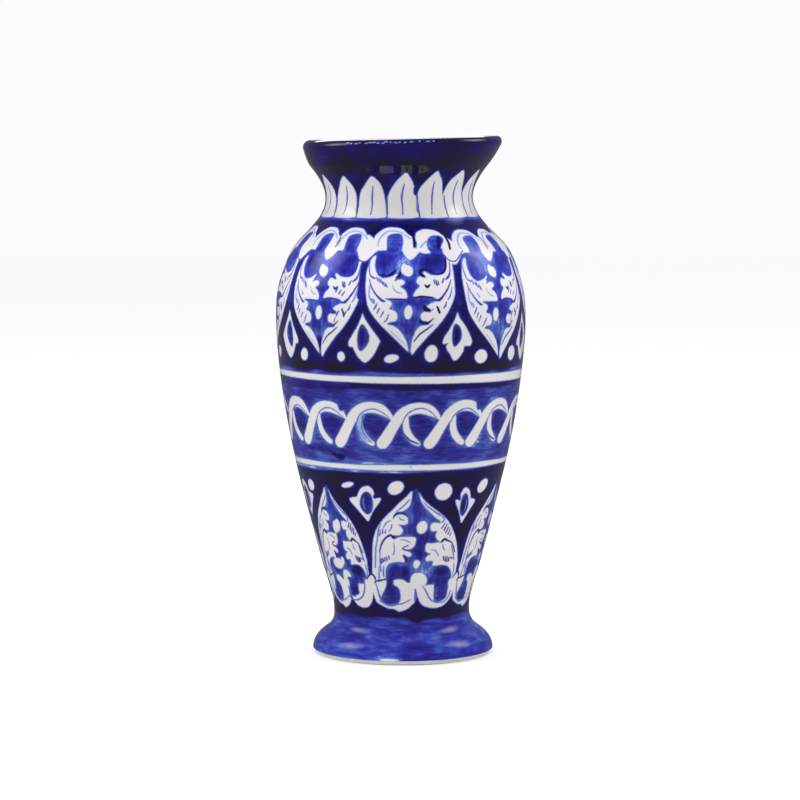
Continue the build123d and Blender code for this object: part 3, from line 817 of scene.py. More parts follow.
def paint_petals(ground):
    """The ring of white petals round the neck, each with one brushed vein."""
    ground.belt(257.6, PETAL_FOOT, 0.58, 0.45)
    ground.belt(wavy(258.6, 0.6, 3), PETAL_FOOT, 0.44, 0.4)
    random = np.random.default_rng(11)
    behind = [(91.6 + 24.2 * k, 285 + random.uniform(-1, 1), random.uniform(-1, 1.5)) for k in range(8)]
    for middle, tip, lean in (*PETAL_PLACES, *behind):
        tall = (tip - PETAL_FOOT) / (PETAL_TIP - PETAL_FOOT)
        shape = moved(PETAL, middle, 0, 1.0, tall, PETAL_FOOT)
        shape[:, 0] += lean * np.clip((shape[:, 1] - 268) / 17, 0, 1)
        shape[1:-1] += random.uniform(-0.35, 0.35, (len(shape) - 2, 2))
        ground.leave_white(shape)
        bend = random.uniform(-0.8, 0.8)
        ground.draw([(middle + 0.4 + lean * 0.6, tip - 6.2, 0.35), (middle + 0.5 + bend, 272, 0.6),
                     (middle + 0.4, 266, 0.45), (middle - 0.2 - bend, 261.6, 0.35)], 0.3)
        edge = middle + 11.9
        ground.draw([(edge, 272, 0.35), (edge + 0.3, 266, 0.45), (edge + 0.4, 260.4, 0.5)], 0.42)
    for notch in (((-7.6, 283.4), (-2.6, 283.4), (-2.5, 280.6), (-5.6, 280), (-6.4, 276.4), (-9, 276)),
                  ((11, 277.8), (10.6, 275), (11.4, 272.8), (13.4, 272.6), (13.4, 277))):
        ground.cover(notch, 0.8)
    for turn, level, wide in ((-5.2, 289, 4.5), (-34, 284, 5), (18, 280, 3), (-60, 292, 6), (120, 288, 7)):
        ground.wash(dot(turn, level, wide, 2.6), 0.76, 2.0)


def paint_lip(ground):
    """The rim's dark ground: navy on the roll of the lip, nearly black under it, and painted
    glints along the front edge: pale marks that stand in for the sparkle of light on the rim."""
    ground.belt(284, 294.5, 0.93, 2.0)
    ground.belt(wavy(294.2, 0.8, 5), 306.5, 0.79, 1.2)
    random = np.random.default_rng(7)
    # Painted highlight: each pale mark is a glint of light on the rim's front edge.
    for turn in RIM_GLINTS:
        level, wide = RIM_GLINT_LEVEL + random.uniform(-0.4, 0.4), random.uniform(0.4, 1.2)
        ground.draw([(turn - wide, level, 0.1), (turn, level + 0.1, random.uniform(0.12, 0.26)),
                     (turn + wide, level, 0.1)], -0.2)


def paint_garland(ground):
    """The scalloped garland over the shoulder panels: two scallops to a panel."""
    ground.belt(250, 257.6, 0.84, 0.8)
    for k, stem, after in spans(UPPER_STEMS):
        wide = (after - stem) / PANEL_WIDTH
        drop = -0.7 * (k == 0) - 1.2 * (k == 2) - 0.4 * (k % 3)
        left, middle, right = stem + 14.6 * wide, stem + 24 * wide, stem + 35.4 * wide
        lifted = k in LIFTED
        ground.leave_white(moved(SCALLOP, left, drop, wide))
        ground.leave_white(moved(LIFTED_SCALLOP if lifted else SCALLOP, right, drop, wide * 0.96))
        ground.cover(moved(FINGER, left, drop, wide), 0.36)
        ground.cover(moved(LIFTED_FINGER if lifted else FINGER, right, drop, wide), 0.42)
        ground.draw(moved(SCALLOP_LINE, left, drop, wide), 0.06)
        if lifted:
            ground.draw(strokes_at(right, ((-6.5, 243.4, 0.5), (-4.6, 245.2, 0.6), (-2.6, 246.8, 0.5))), 0.05)
            ground.brush_over(
                strokes_at(right, ((5.2, 248.6, 0.9), (4.6, 246, 1.3), (3.6, 243.6, 1.2))), 0.93)
            ground.brush_over(
                strokes_at(right, ((3.4, 242.8, 0.8), (6.6, 242.6, 0.7), (7.6, 240.2, 0.6))), 0.9)
        else:
            ground.draw(moved(SCALLOP_LINE, right, drop, wide), 0.06)
        ground.leave_white(moved(PENDANT, middle, drop, wide))
        ground.leave_white(moved(HEART, stem + 0.8, drop))
        heavy = 1.0 if lifted else 0.6
        ground.draw([(middle + 1.7, 250.6 + drop, 0.55 * heavy), (middle + 1.9, 247.5 + drop, 0.75 * heavy),
                     (middle + 1.6, 244 + drop, 0.6 * heavy)], 0.86 * heavy)
        ground.draw(strokes_at(stem, ((-4.6, 239.2, 0.3), (-2.6, 236.2, 0.4), (0.6, 235.4, 0.4),
                                      (3.2, 237.4, 0.4), (7, 241.4, 0.35))), 0.4)
        if k in (2, 4, 6):
            ground.draw(strokes_at(stem, ((-0.4, 250.6, 0.6), (0.4, 246.6, 0.8), (-0.2, 242.4, 0.7))), 0.9)


def paint_panels(ground):
    """The shoulder panels: two half leaves left white round a washed ground, with dots."""
    random = np.random.default_rng(21)
    for k, stem, after in spans(UPPER_STEMS):
        # The panels beside the middle one sit a little lower and are a little taller.
        shift, lift, tall = {0: (1.2, -1.0, 1.02), 2: (0.7, -1.6, 1.045)}.get(k, (-0.2, 0.0, 1.0))
        if k > 2:
            lift = random.uniform(-0.9, 0.9)
        middle = (stem + after) / 2 + shift
        wide = (after - stem) / PANEL_WIDTH
        fit = (lift, wide, tall, PANEL_TOP)
        ground.wash(moved(PANEL_INSIDE, middle, *fit), 0.42, 0.5, 1.0)
        for turn, level, half, high, thick in (
                (-12, 240, 3.4, 7, 0.48), (13, 240, 5, 6, 0.5), (0, 222, 2.2, 8, 0.46), (2, 214, 4, 3, 0.5),
                (0, 196, 2.6, 6, 0.36), (-5, 236, 2.4, 6, 0.32)):
            ground.wash(dot(middle + turn * wide, level + lift, half, high), thick, 1.8)
        ground.leave_white(moved(LEFT_LEAF, middle, *fit))
        ground.leave_white(moved(RIGHT_LEAF, middle, *fit))
        for thick, stroke in LEFT_VEINS + RIGHT_VEINS + (() if k == 1 else SIDE_VEINS):
            shift = 0.0 if k == 1 else random.uniform(-0.35, 0.35)
            ground.draw(moved(stroke, middle + shift, *fit), thick if k == 1 else min(thick, 0.5) - 0.06)
        ground.leave_white(moved(PANEL_DOT, middle, lift, wide))
        ground.leave_white(dot(middle - (3 if k == 2 else 0.8), 207 + lift - (k == 2), 1.95, 4.1, 0.05))
        ground.brush_over([(stem, 238, 1.5), (stem + 0.1, 226, 1.7), (stem, 212, 2)], 0.62, 0.6)
        ground.cover(strokes_at(stem, ((-0.9, 236.4), (1.2, 236.4), (1.4, 225), (1.5, 215), (-1.5, 215),
                                       (-1.3, 225))), 0.7)


def paint_spades(ground):
    """White spades with a seed, point up, between the feet of the shoulder panels."""
    random = np.random.default_rng(31)
    for k, stem in enumerate(UPPER_STEMS):
        drop = 0.0 if k in (1, 2) else random.uniform(-2, 0.5)
        if k in SECOND_SPADES:
            place, flip, spade, seed, inset = stem, 1, RIGHT_SPADE, RIGHT_SEED, 0.6
        else:
            place, flip = stem + (1.6 if k == 1 else 0.6), -1 if k % 2 == 0 else 1
            spade, seed, inset = UPPER_SPADE, UPPER_SEED, 0
        ground.leave_white(moved(spade, place, drop, flip))
        ground.cover(moved(seed, place, drop, flip), 0.52)
        ground.wash(dot(place - 0.8 * flip - inset, 193 + drop, 1.2, 5), 0.72, 1.2)
    for turn, level, wide, high, lean, corner in (
            (-50, 181.6, 2.6, 3.7, 0.1, -0.2), (-27.7, 181, 2, 2.9, 0, 0.1),
            (-4, 180.4, 3.2, 2.5, 0.35, 0.15), (13.5, 183.5, 3.1, 5, 0.05, -0.12),
            (39, 180.7, 3.8, 4.1, 0, 0), (61.5, 181, 3.4, 4.4, 0, 0.1), (84, 181, 3, 3.6, 0, 0.2),
            (106, 181, 3, 4, 0, -0.2), (129, 180.6, 3.3, 3.6, 0.2, 0),
            (151, 181, 2.6, 3.8, 0, 0.1), (175, 181, 3.2, 3.4, 0, 0), (197, 180.6, 2.8, 3.8, 0.1, 0.1),
            (219, 181, 3.2, 3.4, 0, -0.1), (242, 181.4, 2.8, 4, 0, 0.1), (265, 181, 3, 3.4, 0, 0),
            (283.5, 181, 2.6, 3.6, 0.1, 0)):
        ground.leave_white(dot(turn, level, wide, high, lean, corner))


def paint_lines(ground):
    """The two white lines that frame the scroll band, and the blue round them."""
    def upper_low(turn):
        return 165.8 + 1.05 * np.cos(np.radians(turn + 78)) + 0.15 * wobble(turn, 41)

    def under_lower(turn):
        return 114.2 - 1.3 * np.cos(np.radians(turn + 70)) + 0.5 * wobble(turn, 47)

    ground.belt(170, wavy(172.6, 0.9, 45), 0.4, 0.6)
    ground.belt(wavy(162.6, -0.9, 46), upper_low, 0.9, 0.8)
    ground.belt(under_lower, 116, 0.27, 0.5)
    for turn, wide in ((-52, 9), (-30, 8), (22, 9), (38, 10), (55, 8), (100, 16), (170, 20), (230, 18)):
        ground.wash(dot(turn, 174.4, wide, 2.8), 1.04, 2.2)
    for turn, level in ((-40, 188), (-12, 178), (5, 178.6), (28, 177), (33, 210), (46, 186), (150, 178),
                        (215, 186)):
        ground.wash(dot(turn, level, 3.5, 3.5), 0.98, 2.6)
    ground.wash(((-70, 162), (-70, 166), (-30, 166.4), (-24, 163), (-40, 161.8)), 0.66, 0.8)
    ground.white_belt(upper_low, wavy(170.2, 0.25, 42))
    ground.white_belt(wavy(115.2, 0.3, 43), wavy(118.5, 0.3, 44))
    ground.draw([(4.6, 117.9, 0.3), (5.4, 116.8, 0.5)], 0.05)
    ground.draw([(-8.4, 119, 0.3), (-7.4, 118.6, 0.4)], 0.1)


def paint_scrolls(ground):
    """The running scroll: a thick stroke that climbs and curls over each eye, and a short one
    that closes the eye on its left."""
    ground.belt(117, 163.5, 0.42, 0.8)
    random = np.random.default_rng(51)
    for k in range(26):
        turn = -180 + 360 * (k + random.uniform(0, 0.8)) / 26
        level = random.choice((122.5, 126, 158, 161, 124))
        spot = dot(turn, level, random.uniform(4, 9), random.uniform(1, 2))
        ground.wash(spot, random.uniform(0.28, 0.62), 1.6)
    ground.wash(((-40, 126), (-36, 124.6), (-31, 123.4), (-30.6, 121), (-33, 120.6), (-36, 122.4)), 0.85, 0.8)
    for k, eye in enumerate((*SCROLL_EYES, *(80.2 + 24.4 * n for n in range(9)))):
        def nudge(size, fixed=k == 2):
            return 0.0 if fixed else random.uniform(-size, size)

        ground.wash(dot(eye - 0.6, 141 + nudge(0.5), 6.6, 7.4, -0.1), 0.55, 1.2)
        ground.brush_over([(eye - 21.5, 133, 2), (eye - 16.6, 141, 1.6), (eye - 12.5, 148, 1.4)], 0.56, 1.2)
        top = nudge(0.6)
        climb = ((-18.9, 131.3, 3.6), (-17.2, 133.8, 3.6), (-13.7, 140.6, 3.2), (-10.1, 147.2, 3.3),
                 (-5.6, 151.2 + top, 3.3), (-0.8, 152.2 + top, 3.3), (3.6, 151 + top, 3.2), (7.2, 147.8, 2.0),
                 (9.1, 145.4, 0.8))
        ground.leave_stroke(strokes_at(eye, climb), 127.7 + nudge(0.4))
        wide = 0.25 if k in (0, 4) else 0.0
        close = ((-7.4, 146, 1.7), (-7.2, 140.6, 1.95), (-5.9, 136.2, 2.1), (-3.3, 132.6, 2),
                 (-1.2, 131, 1.5))
        ground.leave_stroke([(eye + turn, level, half + wide) for turn, level, half in close])
        bend = nudge(0.6)
        inner = ((-8.9, 143 + bend, 0.3), (-7.1, 147.4 + bend, 0.42), (-3.6, 150.4 + bend, 0.45),
                 (0.5, 151.2 + bend, 0.42), (4.2, 149.3 + bend, 0.4), (7.6, 146, 0.3))
        ground.draw(strokes_at(eye, inner), 0.24)
        ground.draw([(eye - 9.3, 141.6, 0.3), (eye - 9.5, 138.6, 0.5)], 0.4)
        if k in (1, 4, 8):
            ground.cover(strokes_at(eye, ((5.4, 151.6), (6.6, 149.4), (9, 149.8), (12, 147.4), (12, 154),
                                          (6, 154.4))), 0.44)
        if k in (2, 7):
            for side, light in ((-8.6, 0.2), (-7.4, 0.12), (-6.2, 0.25)):
                ground.draw(strokes_at(eye + side, ((2.2, 148.4, 0.3), (0, 143, 0.5), (0.6, 137.6, 0.55),
                                                    (4.6, 131.8, 0.35))), light)
        if k in (3, 5):
            ground.draw(strokes_at(eye, ((-8.2, 136.8, 0.4), (-5.4, 133.2, 0.6), (-1.2, 131, 0.5))), 0.4)


def paint_arches(ground):
    """The arches of the flank: half leaves with lobes, fine hatching and a dot or two, and the
    garland that hangs under them."""
    ground.belt(24, wavy(113.4, 0.6, 61), 0.89, 0.5)
    random = np.random.default_rng(71)
    for (k, before, after), middle in zip(spans(LOWER_STEMS), LOWER_MIDDLES):
        left, right = (middle - before) / ARCH_LEFT_WIDTH, (after - middle) / ARCH_RIGHT_WIDTH

        def fitted(points):
            given = np.array(points, float)
            given[:, 0] = middle + given[:, 0] * np.where(given[:, 0] < 0, left, right)
            return given

        ground.wash(fitted(ARCH_INSIDE), 0.42, 0.5, 1.0)
        for turn, level, wide, high, thick in (
                (0, 96, 2, 8, 0.5), (3, 72, 3, 14, 0.56), (-12, 54, 5, 4, 0.55), (-6, 54, 3, 3, 0.68),
                (22, 54, 6, 3, 0.7), (-2, 90, 2, 8, 0.34)):
            ground.wash(dot(middle + turn * (left if turn < 0 else right), level, wide, high), thick, 1.8)
        ground.leave_white(fitted(ARCH_LEFT))
        ground.leave_white(fitted(ARCH_RIGHT))
        for thick, stroke in ARCH_LEFT_LINES + ARCH_RIGHT_LINES:
            ground.draw(fitted(stroke), min(thick + 0.06, 0.62))
        ground.leave_white(fitted(dot(4.7, 81 + random.uniform(-1, 1), 3.5, 4.0, 0.1)))
        ground.leave_white(fitted(dot(2.6, 58.4, 2.5, 2.7, 0.1, 0.3)))
        ground.leave_white(fitted(LOWER_GARLAND))
        for side, finger in enumerate(LOWER_FINGERS):
            ground.cover(LEFT_ARCH_FINGER if (k, side) == (0, 1) else fitted(finger), 0.48)
        for place, (thick, stroke) in enumerate(LOWER_GARLAND_LINES):
            if (k, place) == (0, 1):
                ground.draw(LEFT_ARCH_LINE, 0.28)
            else:
                ground.draw(fitted(stroke), min(thick + 0.1, 0.6))
    for stem in LOWER_STEMS:
        ground.cover(strokes_at(stem, ((-1.2, 53), (1.2, 53), (1.3, 62), (1.5, 70), (0, 73), (-1.6, 70),
                                       (-1.3, 62))), 0.8)
        ground.leave_white(strokes_at(stem, ((-6.6, 46.4), (-4.6, 49), (-2.2, 50.8), (0.4, 52), (2.6, 50.6),
                                             (3.6, 48.4), (3.2, 45), (0, 41.6), (-4, 42))))


def paint_lower_spades(ground):
    """White spades with a seed, point down, between the heads of the arches, and dots."""
    for place, narrow, drop in ((-19.8, 1.0, 0.0), (39.6, -0.78, -2.2), (99, 0.95, -1.0), (149.5, -0.9, 0.4),
                                (224, 1.0, -1.4), (287.5, -0.95, -0.5)):
        ground.leave_white(moved(LOWER_SPADE, place, drop, narrow))
        ground.cover(moved(LOWER_SEED, place, drop, narrow), 0.56)
        vein = ((-1.4, 92, 0.25), (-2.2, 95.5, 0.3), (-1.4, 98.6, 0.25))
        ground.draw(moved(vein, place, drop, narrow), 0.2)
    for turn, level, wide, high, lean in (
            (-61.8, 103, 3.7, 3.5, 0.1), (-30.6, 105.8, 3.6, 1.9, 1), (-2.8, 104.9, 4.4, 4.2, 0.25),
            (24.4, 102, 5.4, 5.2, 0), (52.6, 103.5, 4.3, 4.2, 0.3), (84, 104, 4, 3.8, 0),
            (112, 103.6, 4.2, 3.6, 0.2), (136, 104, 3.8, 3.8, 0), (163, 103.4, 4.4, 4, 0),
            (210, 104, 4, 4, 0.1), (238, 103.4, 4.4, 3.8, 0), (272, 104, 4, 3.6, 0.1),
            (-45.3, 79.4, 2.5, 3.9, 0.05), (-50.3, 57, 5.6, 3.5, 0)):
        ground.leave_white(dot(turn, level, wide, high, lean))


def paint_foot(ground):
    """The foot: dark paint under the garland, then streaks of wash down to the bare edge."""
    def ragged(turn):
        return 25.6 + 0.9 * wobble(turn, 81) - 2.8 * np.exp(-(((turn - 12) / 5.5) ** 2))

    ground.belt(0, ragged, 0.36, 0.6)
    ground.belt(wavy(24.2, 0.8, 82), ragged, 0.5, 0.5)
    random = np.random.default_rng(91)
    for k in range(48):
        turn = -180 + 360 * (k + random.uniform(0, 0.9)) / 48
        streak = dot(turn, random.uniform(4, 23), random.uniform(8, 26), random.uniform(0.3, 0.9))
        ground.wash(streak, random.uniform(0.22, 0.58), 1.1)
    ground.leave_white(dot(-8, 3.0, 6.5, 1.1, 0.0, 0.2))


# Each step of the painting, in the order of the brush, with the levels between which it lies.
ORNAMENT = (
    (paint_lip, 280, 310), (paint_petals, 255, 292), (paint_panels, 170, 262), (paint_garland, 228, 262),
    (paint_spades, 172, 212), (paint_scrolls, 112, 168), (paint_arches, 20, 116),
    (paint_lower_spades, 50, 112), (paint_lines, 108, 178), (paint_foot, 0, 48))


def painted_band(context, name, low, high=None):
    """One band of the outside: slip, painting and glaze, a thin shell with its painted face out.

    The outer rows follow the profile every row step, up to a level or over the lip; a few rows
    close the shell behind them.
    """
    sizes = context.scene.vase_sizes
    form = Form(sizes)
    coat = sizes.coat / MM
    base, top = form.run_at(low), form.run[-1] if high is None else form.run_at(high)
    count = int(round((top - base) / (sizes.row_step / MM))) + 1
    rows = form.at_run(np.linspace(base, top, count))
    if high is None:
        back = np.concatenate([form.lip_arc(form.bead - coat, 90, -math.degrees(form.lean), 7)[:-1],
                               form.under(coat, low, form.lip_end[1] + 1, 6)[::-1]])
    else:
        back = form.under(coat, low, high, 6)[::-1]
    back[-1, 1] = max(back[-1, 1], low)
    made = turned(name, np.concatenate([rows, back]), sizes.columns, outside=count)
    ground = Ground(form, rows, sizes.columns)
    for ornament, bottom, crest in ORNAMENT:
        if rows[-1, 1] > bottom and rows[0, 1] < crest:
            ornament(ground)
    for title, hidden in (("reserve", -1), ("line", -1), ("paint", 0), ("line_paint", 0), ("upright", 0)):
        whole = np.pad(getattr(ground, title), ((0, len(back)), (0, 0)), constant_values=hidden)
        store = made.data.attributes.new(title, "FLOAT", "POINT")
        store.data.foreach_set("value", whole.astype(np.float32).ravel())
    finished(made, kept("brushed_cobalt_glaze", painted_glaze), "painted_glaze", "outer_glaze", "outer_slip")


# ---------------------------------------------------------------- materials


class Recipe:
    """A new material, with short ways to make its nodes and join them."""

    def __init__(self, name):
        self.made = bpy.data.materials.new(name)
        self.made.use_nodes = True
        self.tree = self.made.node_tree
        self.shader = next(n for n in self.tree.nodes if n.type == "BSDF_PRINCIPLED")

    def give(self, socket, given):
        """Links a node's output to an input, or sets the input to a value or a colour."""
        if isinstance(given, bpy.types.NodeSocket):
            self.tree.links.new(given, socket)
        elif socket.type == "RGBA":
            socket.default_value = (*given, 1)
        else:
            socket.default_value = given

    def node(self, kind, *given, **settings):
        """A node with its first inputs given in order, others by name after in_, and its settings."""
        made = self.tree.nodes.new(kind)
        for key, value in settings.items():
            if key.startswith("in_"):
                self.give(made.inputs[key[3:].replace("_", " ")], value)
            else:
                setattr(made, key, value)
        for socket, value in zip(made.inputs, given):
            self.give(socket, value)
        return made

    def place(self):
        """Where the surface lies on the pot."""
        return self.node("ShaderNodeTexCoord").outputs["Object"]

    def kept_at_points(self, name):
        """A number kept at the mesh's points."""
        return self.node("ShaderNodeAttribute", attribute_name=name).outputs["Fac"]

    def maths(self, first, second, operation):
        return self.node("ShaderNodeMath", first, second, operation=operation).outputs[0]

    def added(self, first, second):
        return self.maths(first, second, "ADD")

    def times(self, first, second):
        return self.maths(first, second, "MULTIPLY")

    def about_zero(self, given):
        """A texture between 0 and 1 made to swing about 0."""
        return self.maths(given, 0.5, "SUBTRACT")

    def spread(self, given, low, high, to_low=0.0, to_high=1.0):
        """A number between two limits carried to lie between two others."""
        return self.node("ShaderNodeMapRange", in_Value=given, in_From_Min=low, in_From_Max=high,
                         in_To_Min=to_low, in_To_Max=to_high).outputs[0]

    def noise(self, scale, detail=3.0, rough=0.5, stretch=None):
        """Cloudy noise, drawn together along the axes that are stretched."""
        place = self.place()
        if stretch:
            place = self.node("ShaderNodeMapping", in_Vector=place, in_Scale=stretch).outputs[0]
        return self.node("ShaderNodeTexNoise", in_Vector=place, in_Scale=scale, in_Detail=detail,
                         in_Roughness=rough).outputs["Fac"]

    def mixed(self, share, first, second, blend="MIX"):
        """Two colours mixed by a share."""
        made = self.node("ShaderNodeMix", share, data_type="RGBA", blend_type=blend)
        self.give(made.inputs[6], first)
        self.give(made.inputs[7], second)
        return made.outputs[2]

    def ramp(self, given, *stops):
        """A colour for each place of a number, straight between the stops."""
        made = self.node("ShaderNodeValToRGB", given)
        elements = made.color_ramp.elements
        elements.remove(elements[-1])
        elements[0].position = stops[0][0]
        elements[0].color = (*stops[0][1], 1)
        for place, shade in stops[1:]:
            elements.new(place).color = (*shade, 1)
        return made.outputs[0]

    def finish(self, colour, roughness, height, strength, distance):
        """Joins the colour, the roughness and the bump to the shader."""
        bump = self.node("ShaderNodeBump", in_Strength=strength, in_Distance=distance, in_Height=height)
        for name, given in (("Base Color", colour), ("Roughness", roughness), ("Normal", bump.outputs[0])):
            self.give(self.shader.inputs[name], given)


def kept(name, brew, *given):
    """The material of a name, brewed by its recipe when it is first asked for."""
    found = bpy.data.materials.get(name)
    if found:
        return found
    recipe = Recipe(name)
    brew(recipe, *given)
    return recipe.made


def painted_glaze(mix):
    """White coat, cobalt painting and a clear, very glossy glaze.

    The painting is read from the distances kept at the points: each edge bleeds through light
    and pale blue into the white, and the brush's streaks come from stretched noise. Below the
    shoulder and on the neck the whites, the edges and the lines are painted darker and greyer,
    as painted shade for the weaker light that reaches those parts.
    """
    paints = bpy.context.scene.vase_colours
    pale, light, wash, deep, navy, black, white = (
        np.array(getattr(paints, name))
        for name in ("pale", "light", "wash", "deep", "navy", "black", "white"))
    paint = mix.kept_at_points("paint")
    blend = mix.node("ShaderNodeMix", mix.kept_at_points("upright"), data_type="FLOAT")
    mix.give(blend.inputs[2], mix.noise(105, 4, 0.65, (1, 1, 5)))
    mix.give(blend.inputs[3], mix.noise(100, 4, 0.62, (4, 4, 1)))
    streak = mix.about_zero(blend.outputs[0])
    cloudy = mix.about_zero(mix.noise(55, 2, 0.5, (1, 1, 1.6)))
    loose = mix.added(mix.times(streak, 0.75), mix.times(cloudy, 0.75))
    thick = mix.added(paint, mix.times(loose, mix.spread(paint, 0.55, 0.95, 1.0, 0.42)))
    # The paint thins a little towards the whites.
    thick = mix.added(thick, mix.spread(mix.kept_at_points("reserve"), -3.2, -0.9, 0.0, -0.13))
    ground = mix.ramp(thick, (0.0, pale), (0.14, light), (0.38, wash), (0.58, deep), (0.78, navy),
                      (0.97, black))

    # Painted shade: this height mask darkens and greys the colours below the shoulder and on the neck, for
    # the weaker light that reaches them.
    level = mix.node("ShaderNodeSeparateXYZ", mix.place()).outputs["Z"]
    below = mix.times(mix.spread(level, 0.195, 0.225, 1.0, 0.0), mix.spread(level, 0.016, 0.03, 0.4, 1.0))
    below = mix.added(below, mix.spread(level, 0.2585, 0.2605, 0.0, 0.8))

    # Multiplies a colour towards a darker tint where the height mask lays painted shade.
    def with_painted_shade(shade, toward):
        return mix.mixed(below, shade, toward, "MULTIPLY")

    shaky = mix.about_zero(mix.noise(900, 2, 0.5))
    reserve = mix.added(mix.kept_at_points("reserve"), mix.times(shaky, 0.5))
    cloud = mix.spread(mix.noise(26, 3, 0.6, (1, 1, 1.3)), 0.35, 0.7)
    clean = with_painted_shade(mix.mixed(cloud, white, white * (0.93, 0.94, 0.97)), (0.83, 0.82, 0.8))
    bleed = mix.mixed(mix.spread(reserve, -0.75, -0.1), ground,
                      mix.mixed(mix.spread(paint, 0.3, 0.9), light * 1.05, wash * 1.15))
    edge = with_painted_shade(mix.mixed(mix.spread(reserve, -0.2, 0.22), bleed, pale * 0.8), (1.1, 1.0, 0.67))
    body = mix.mixed(mix.spread(reserve, 0.12, 0.62), edge, clean)

    lines = mix.ramp(mix.added(mix.kept_at_points("line_paint"), mix.times(shaky, 0.25)), (0.0, pale),
                     (0.24, light * 1.25), (0.46, wash), (0.66, deep), (0.82, navy), (0.97, black))
    line = mix.added(mix.kept_at_points("line"), mix.times(shaky, 0.4))
    drawn = mix.mixed(mix.spread(line, -0.3, 0.24), body, with_painted_shade(lines, (1.1, 1.0, 0.7)))
    grains = mix.added(mix.spread(reserve, -0.5, 0.5, 0.03, 0.0), mix.spread(shaky, -0.5, 0.5, 0.0, 0.02))
    swell = mix.added(mix.noise(60, 2, 0.4), grains)
    mix.finish(drawn, mix.spread(mix.noise(30, 3, 0.6), 0.3, 0.7, 0.05, 0.09), swell, 0.35, 0.0006)
    for name, value in (("IOR", 1.5), ("Coat Weight", 0.25), ("Coat Roughness", 0.04)):
        mix.shader.inputs[name].default_value = value


def coated_white(mix):
    """The plain white glazed inside: soft cloudiness, a few specks and throwing rings."""
    white = np.array(bpy.context.scene.vase_colours.white)
    cloud = mix.noise(22, 4)
    tone = mix.ramp(cloud, (0.3, white * 0.9), (0.7, white * (0.99, 0.99, 1.0)))
    specks = mix.node("ShaderNodeTexVoronoi", mix.place(), in_Scale=130.0).outputs["Distance"]
    speckled = mix.mixed(mix.spread(specks, 0.03, 0.07, 0.7, 0.0), tone, white * (0.55, 0.5, 0.45))
    rings = mix.node("ShaderNodeTexWave", mix.place(), bands_direction="Z", in_Scale=40.0, in_Distortion=2.0,
                     in_Detail=2.0)
    mix.finish(speckled, mix.spread(cloud, 0, 1, 0.08, 0.16), rings.outputs["Fac"], 0.3, 0.0006)


def fired_clay(mix, shade):
    """Bare fired clay: fine grain, turning rings from the wheel and dull, rubbed patches."""
    shade = np.array(shade)
    grain, patch = mix.noise(420, 6, 0.7), mix.noise(28, 3)
    fine = mix.ramp(grain, (0.3, shade * 0.8), (0.62, shade), (0.8, shade * 1.08))
    rubbed = mix.mixed(mix.spread(patch, 0.45, 0.75, 0.0, 0.5), fine, shade * (0.86, 0.8, 0.72))
    rings = mix.node("ShaderNodeTexWave", mix.place(), wave_type="RINGS", rings_direction="Z", in_Scale=110.0,
                     in_Distortion=1.5, in_Detail=2.0)
    relief = mix.added(rings.outputs["Fac"], grain)
    mix.finish(rubbed, mix.spread(grain, 0, 1, 0.7, 0.9), relief, 0.45, 0.0005)


# ---------------------------------------------------------------- operators

# Levels where one painted band meets the next, in millimetres.
NECK_LINE, PANEL_LINE, SCROLL_TOP, SCROLL_FOOT, ARCH_LINE, FOOT_LINE = 258.4, 216, 168, 114, 72, 25

# Where the lamps point and where the camera stands, in metres; its tip downwards is in degrees.
LAMP_AIM = (0, 0, 0.17)
CAMERA_PLACE, CAMERA_TIP, CAMERA_LENS = (0, -1.748, 0.305), 5.054, 132.7


class ThrowClay(bpy.types.Operator):
    """Throw the four clay sections: foot, lower body, upper body and neck"""

    bl_idname = "vase.throw_clay"
    bl_label = "Throw clay sections"

    def execute(self, context):
        sizes = context.scene.vase_sizes
        form = Form(sizes)
        coat = sizes.coat / MM
        inner = form.wall - coat
        seam, belly, neck, bottom, bore, bare, ring = (
            getattr(sizes, name) / MM for name in ("foot_seam", "belly_seam", "neck_level", "floor_underside",
                                                   "bore_radius", "bare_foot", "ring_width"))
        top = sizes.floor_level / MM - coat
        lean = math.degrees(form.lean)
        # The bare edge is flush with the glaze's back, and its arris is sponged round.
        base = form.radius_at(0.4) - coat
        foot = [(base - ring - 0.9, 0.3), (base - ring, 0), (base - 0.9, 0), (base - 0.25, 0.25), (base, 0.9),
                (form.radius_at(bare) - coat, bare), *form.under(coat, bare + 0.5, seam, 1.5),
                (bore + 3.5, seam + 3), (bore + 0.2, seam + 3),
                *((bore + 0.2 + (base - ring - bore) * (1 - level / 24), level) for level in (18, 12, 6, 2))]
        lower_out = form.under(coat, seam + 0.3, belly, 4)
        lower_in = form.under(inner, top + 14, belly + 3, 5)[::-1]
        inmost = lower_in[-1, 0]
        lower = [(0, bottom), (bore, bottom), (bore + 3.7, bottom - 1), (lower_out[0, 0] - 2, seam + 1),
                 *lower_out, *lower_in, (inmost - 6, top + 3.4), (inmost - 12, top), (0, top)]
        upper = [*form.under(coat, belly + 1, neck, 4), *form.under(inner, belly + 4, neck + 2, 4)[::-1]]
        high = [*form.under(coat, neck + 1, form.lip_end[1], 3),
                *form.lip_arc(form.bead - coat, -lean + 8, 172 - lean, 12),
                *form.under(inner, neck + 3, form.lip_end[1] + 3, 3)[::-1]]
        clay = kept("turned_clay", fired_clay, context.scene.vase_colours.clay)
        for node, line in (("foot", foot), ("lower_body", lower), ("upper_body", upper), ("neck", high)):
            made = turned(f"{node}_clay", line, 240, to_axis=node == "lower_body")
            finished(made, clay, "bare_clay", node)
        return {"FINISHED"}


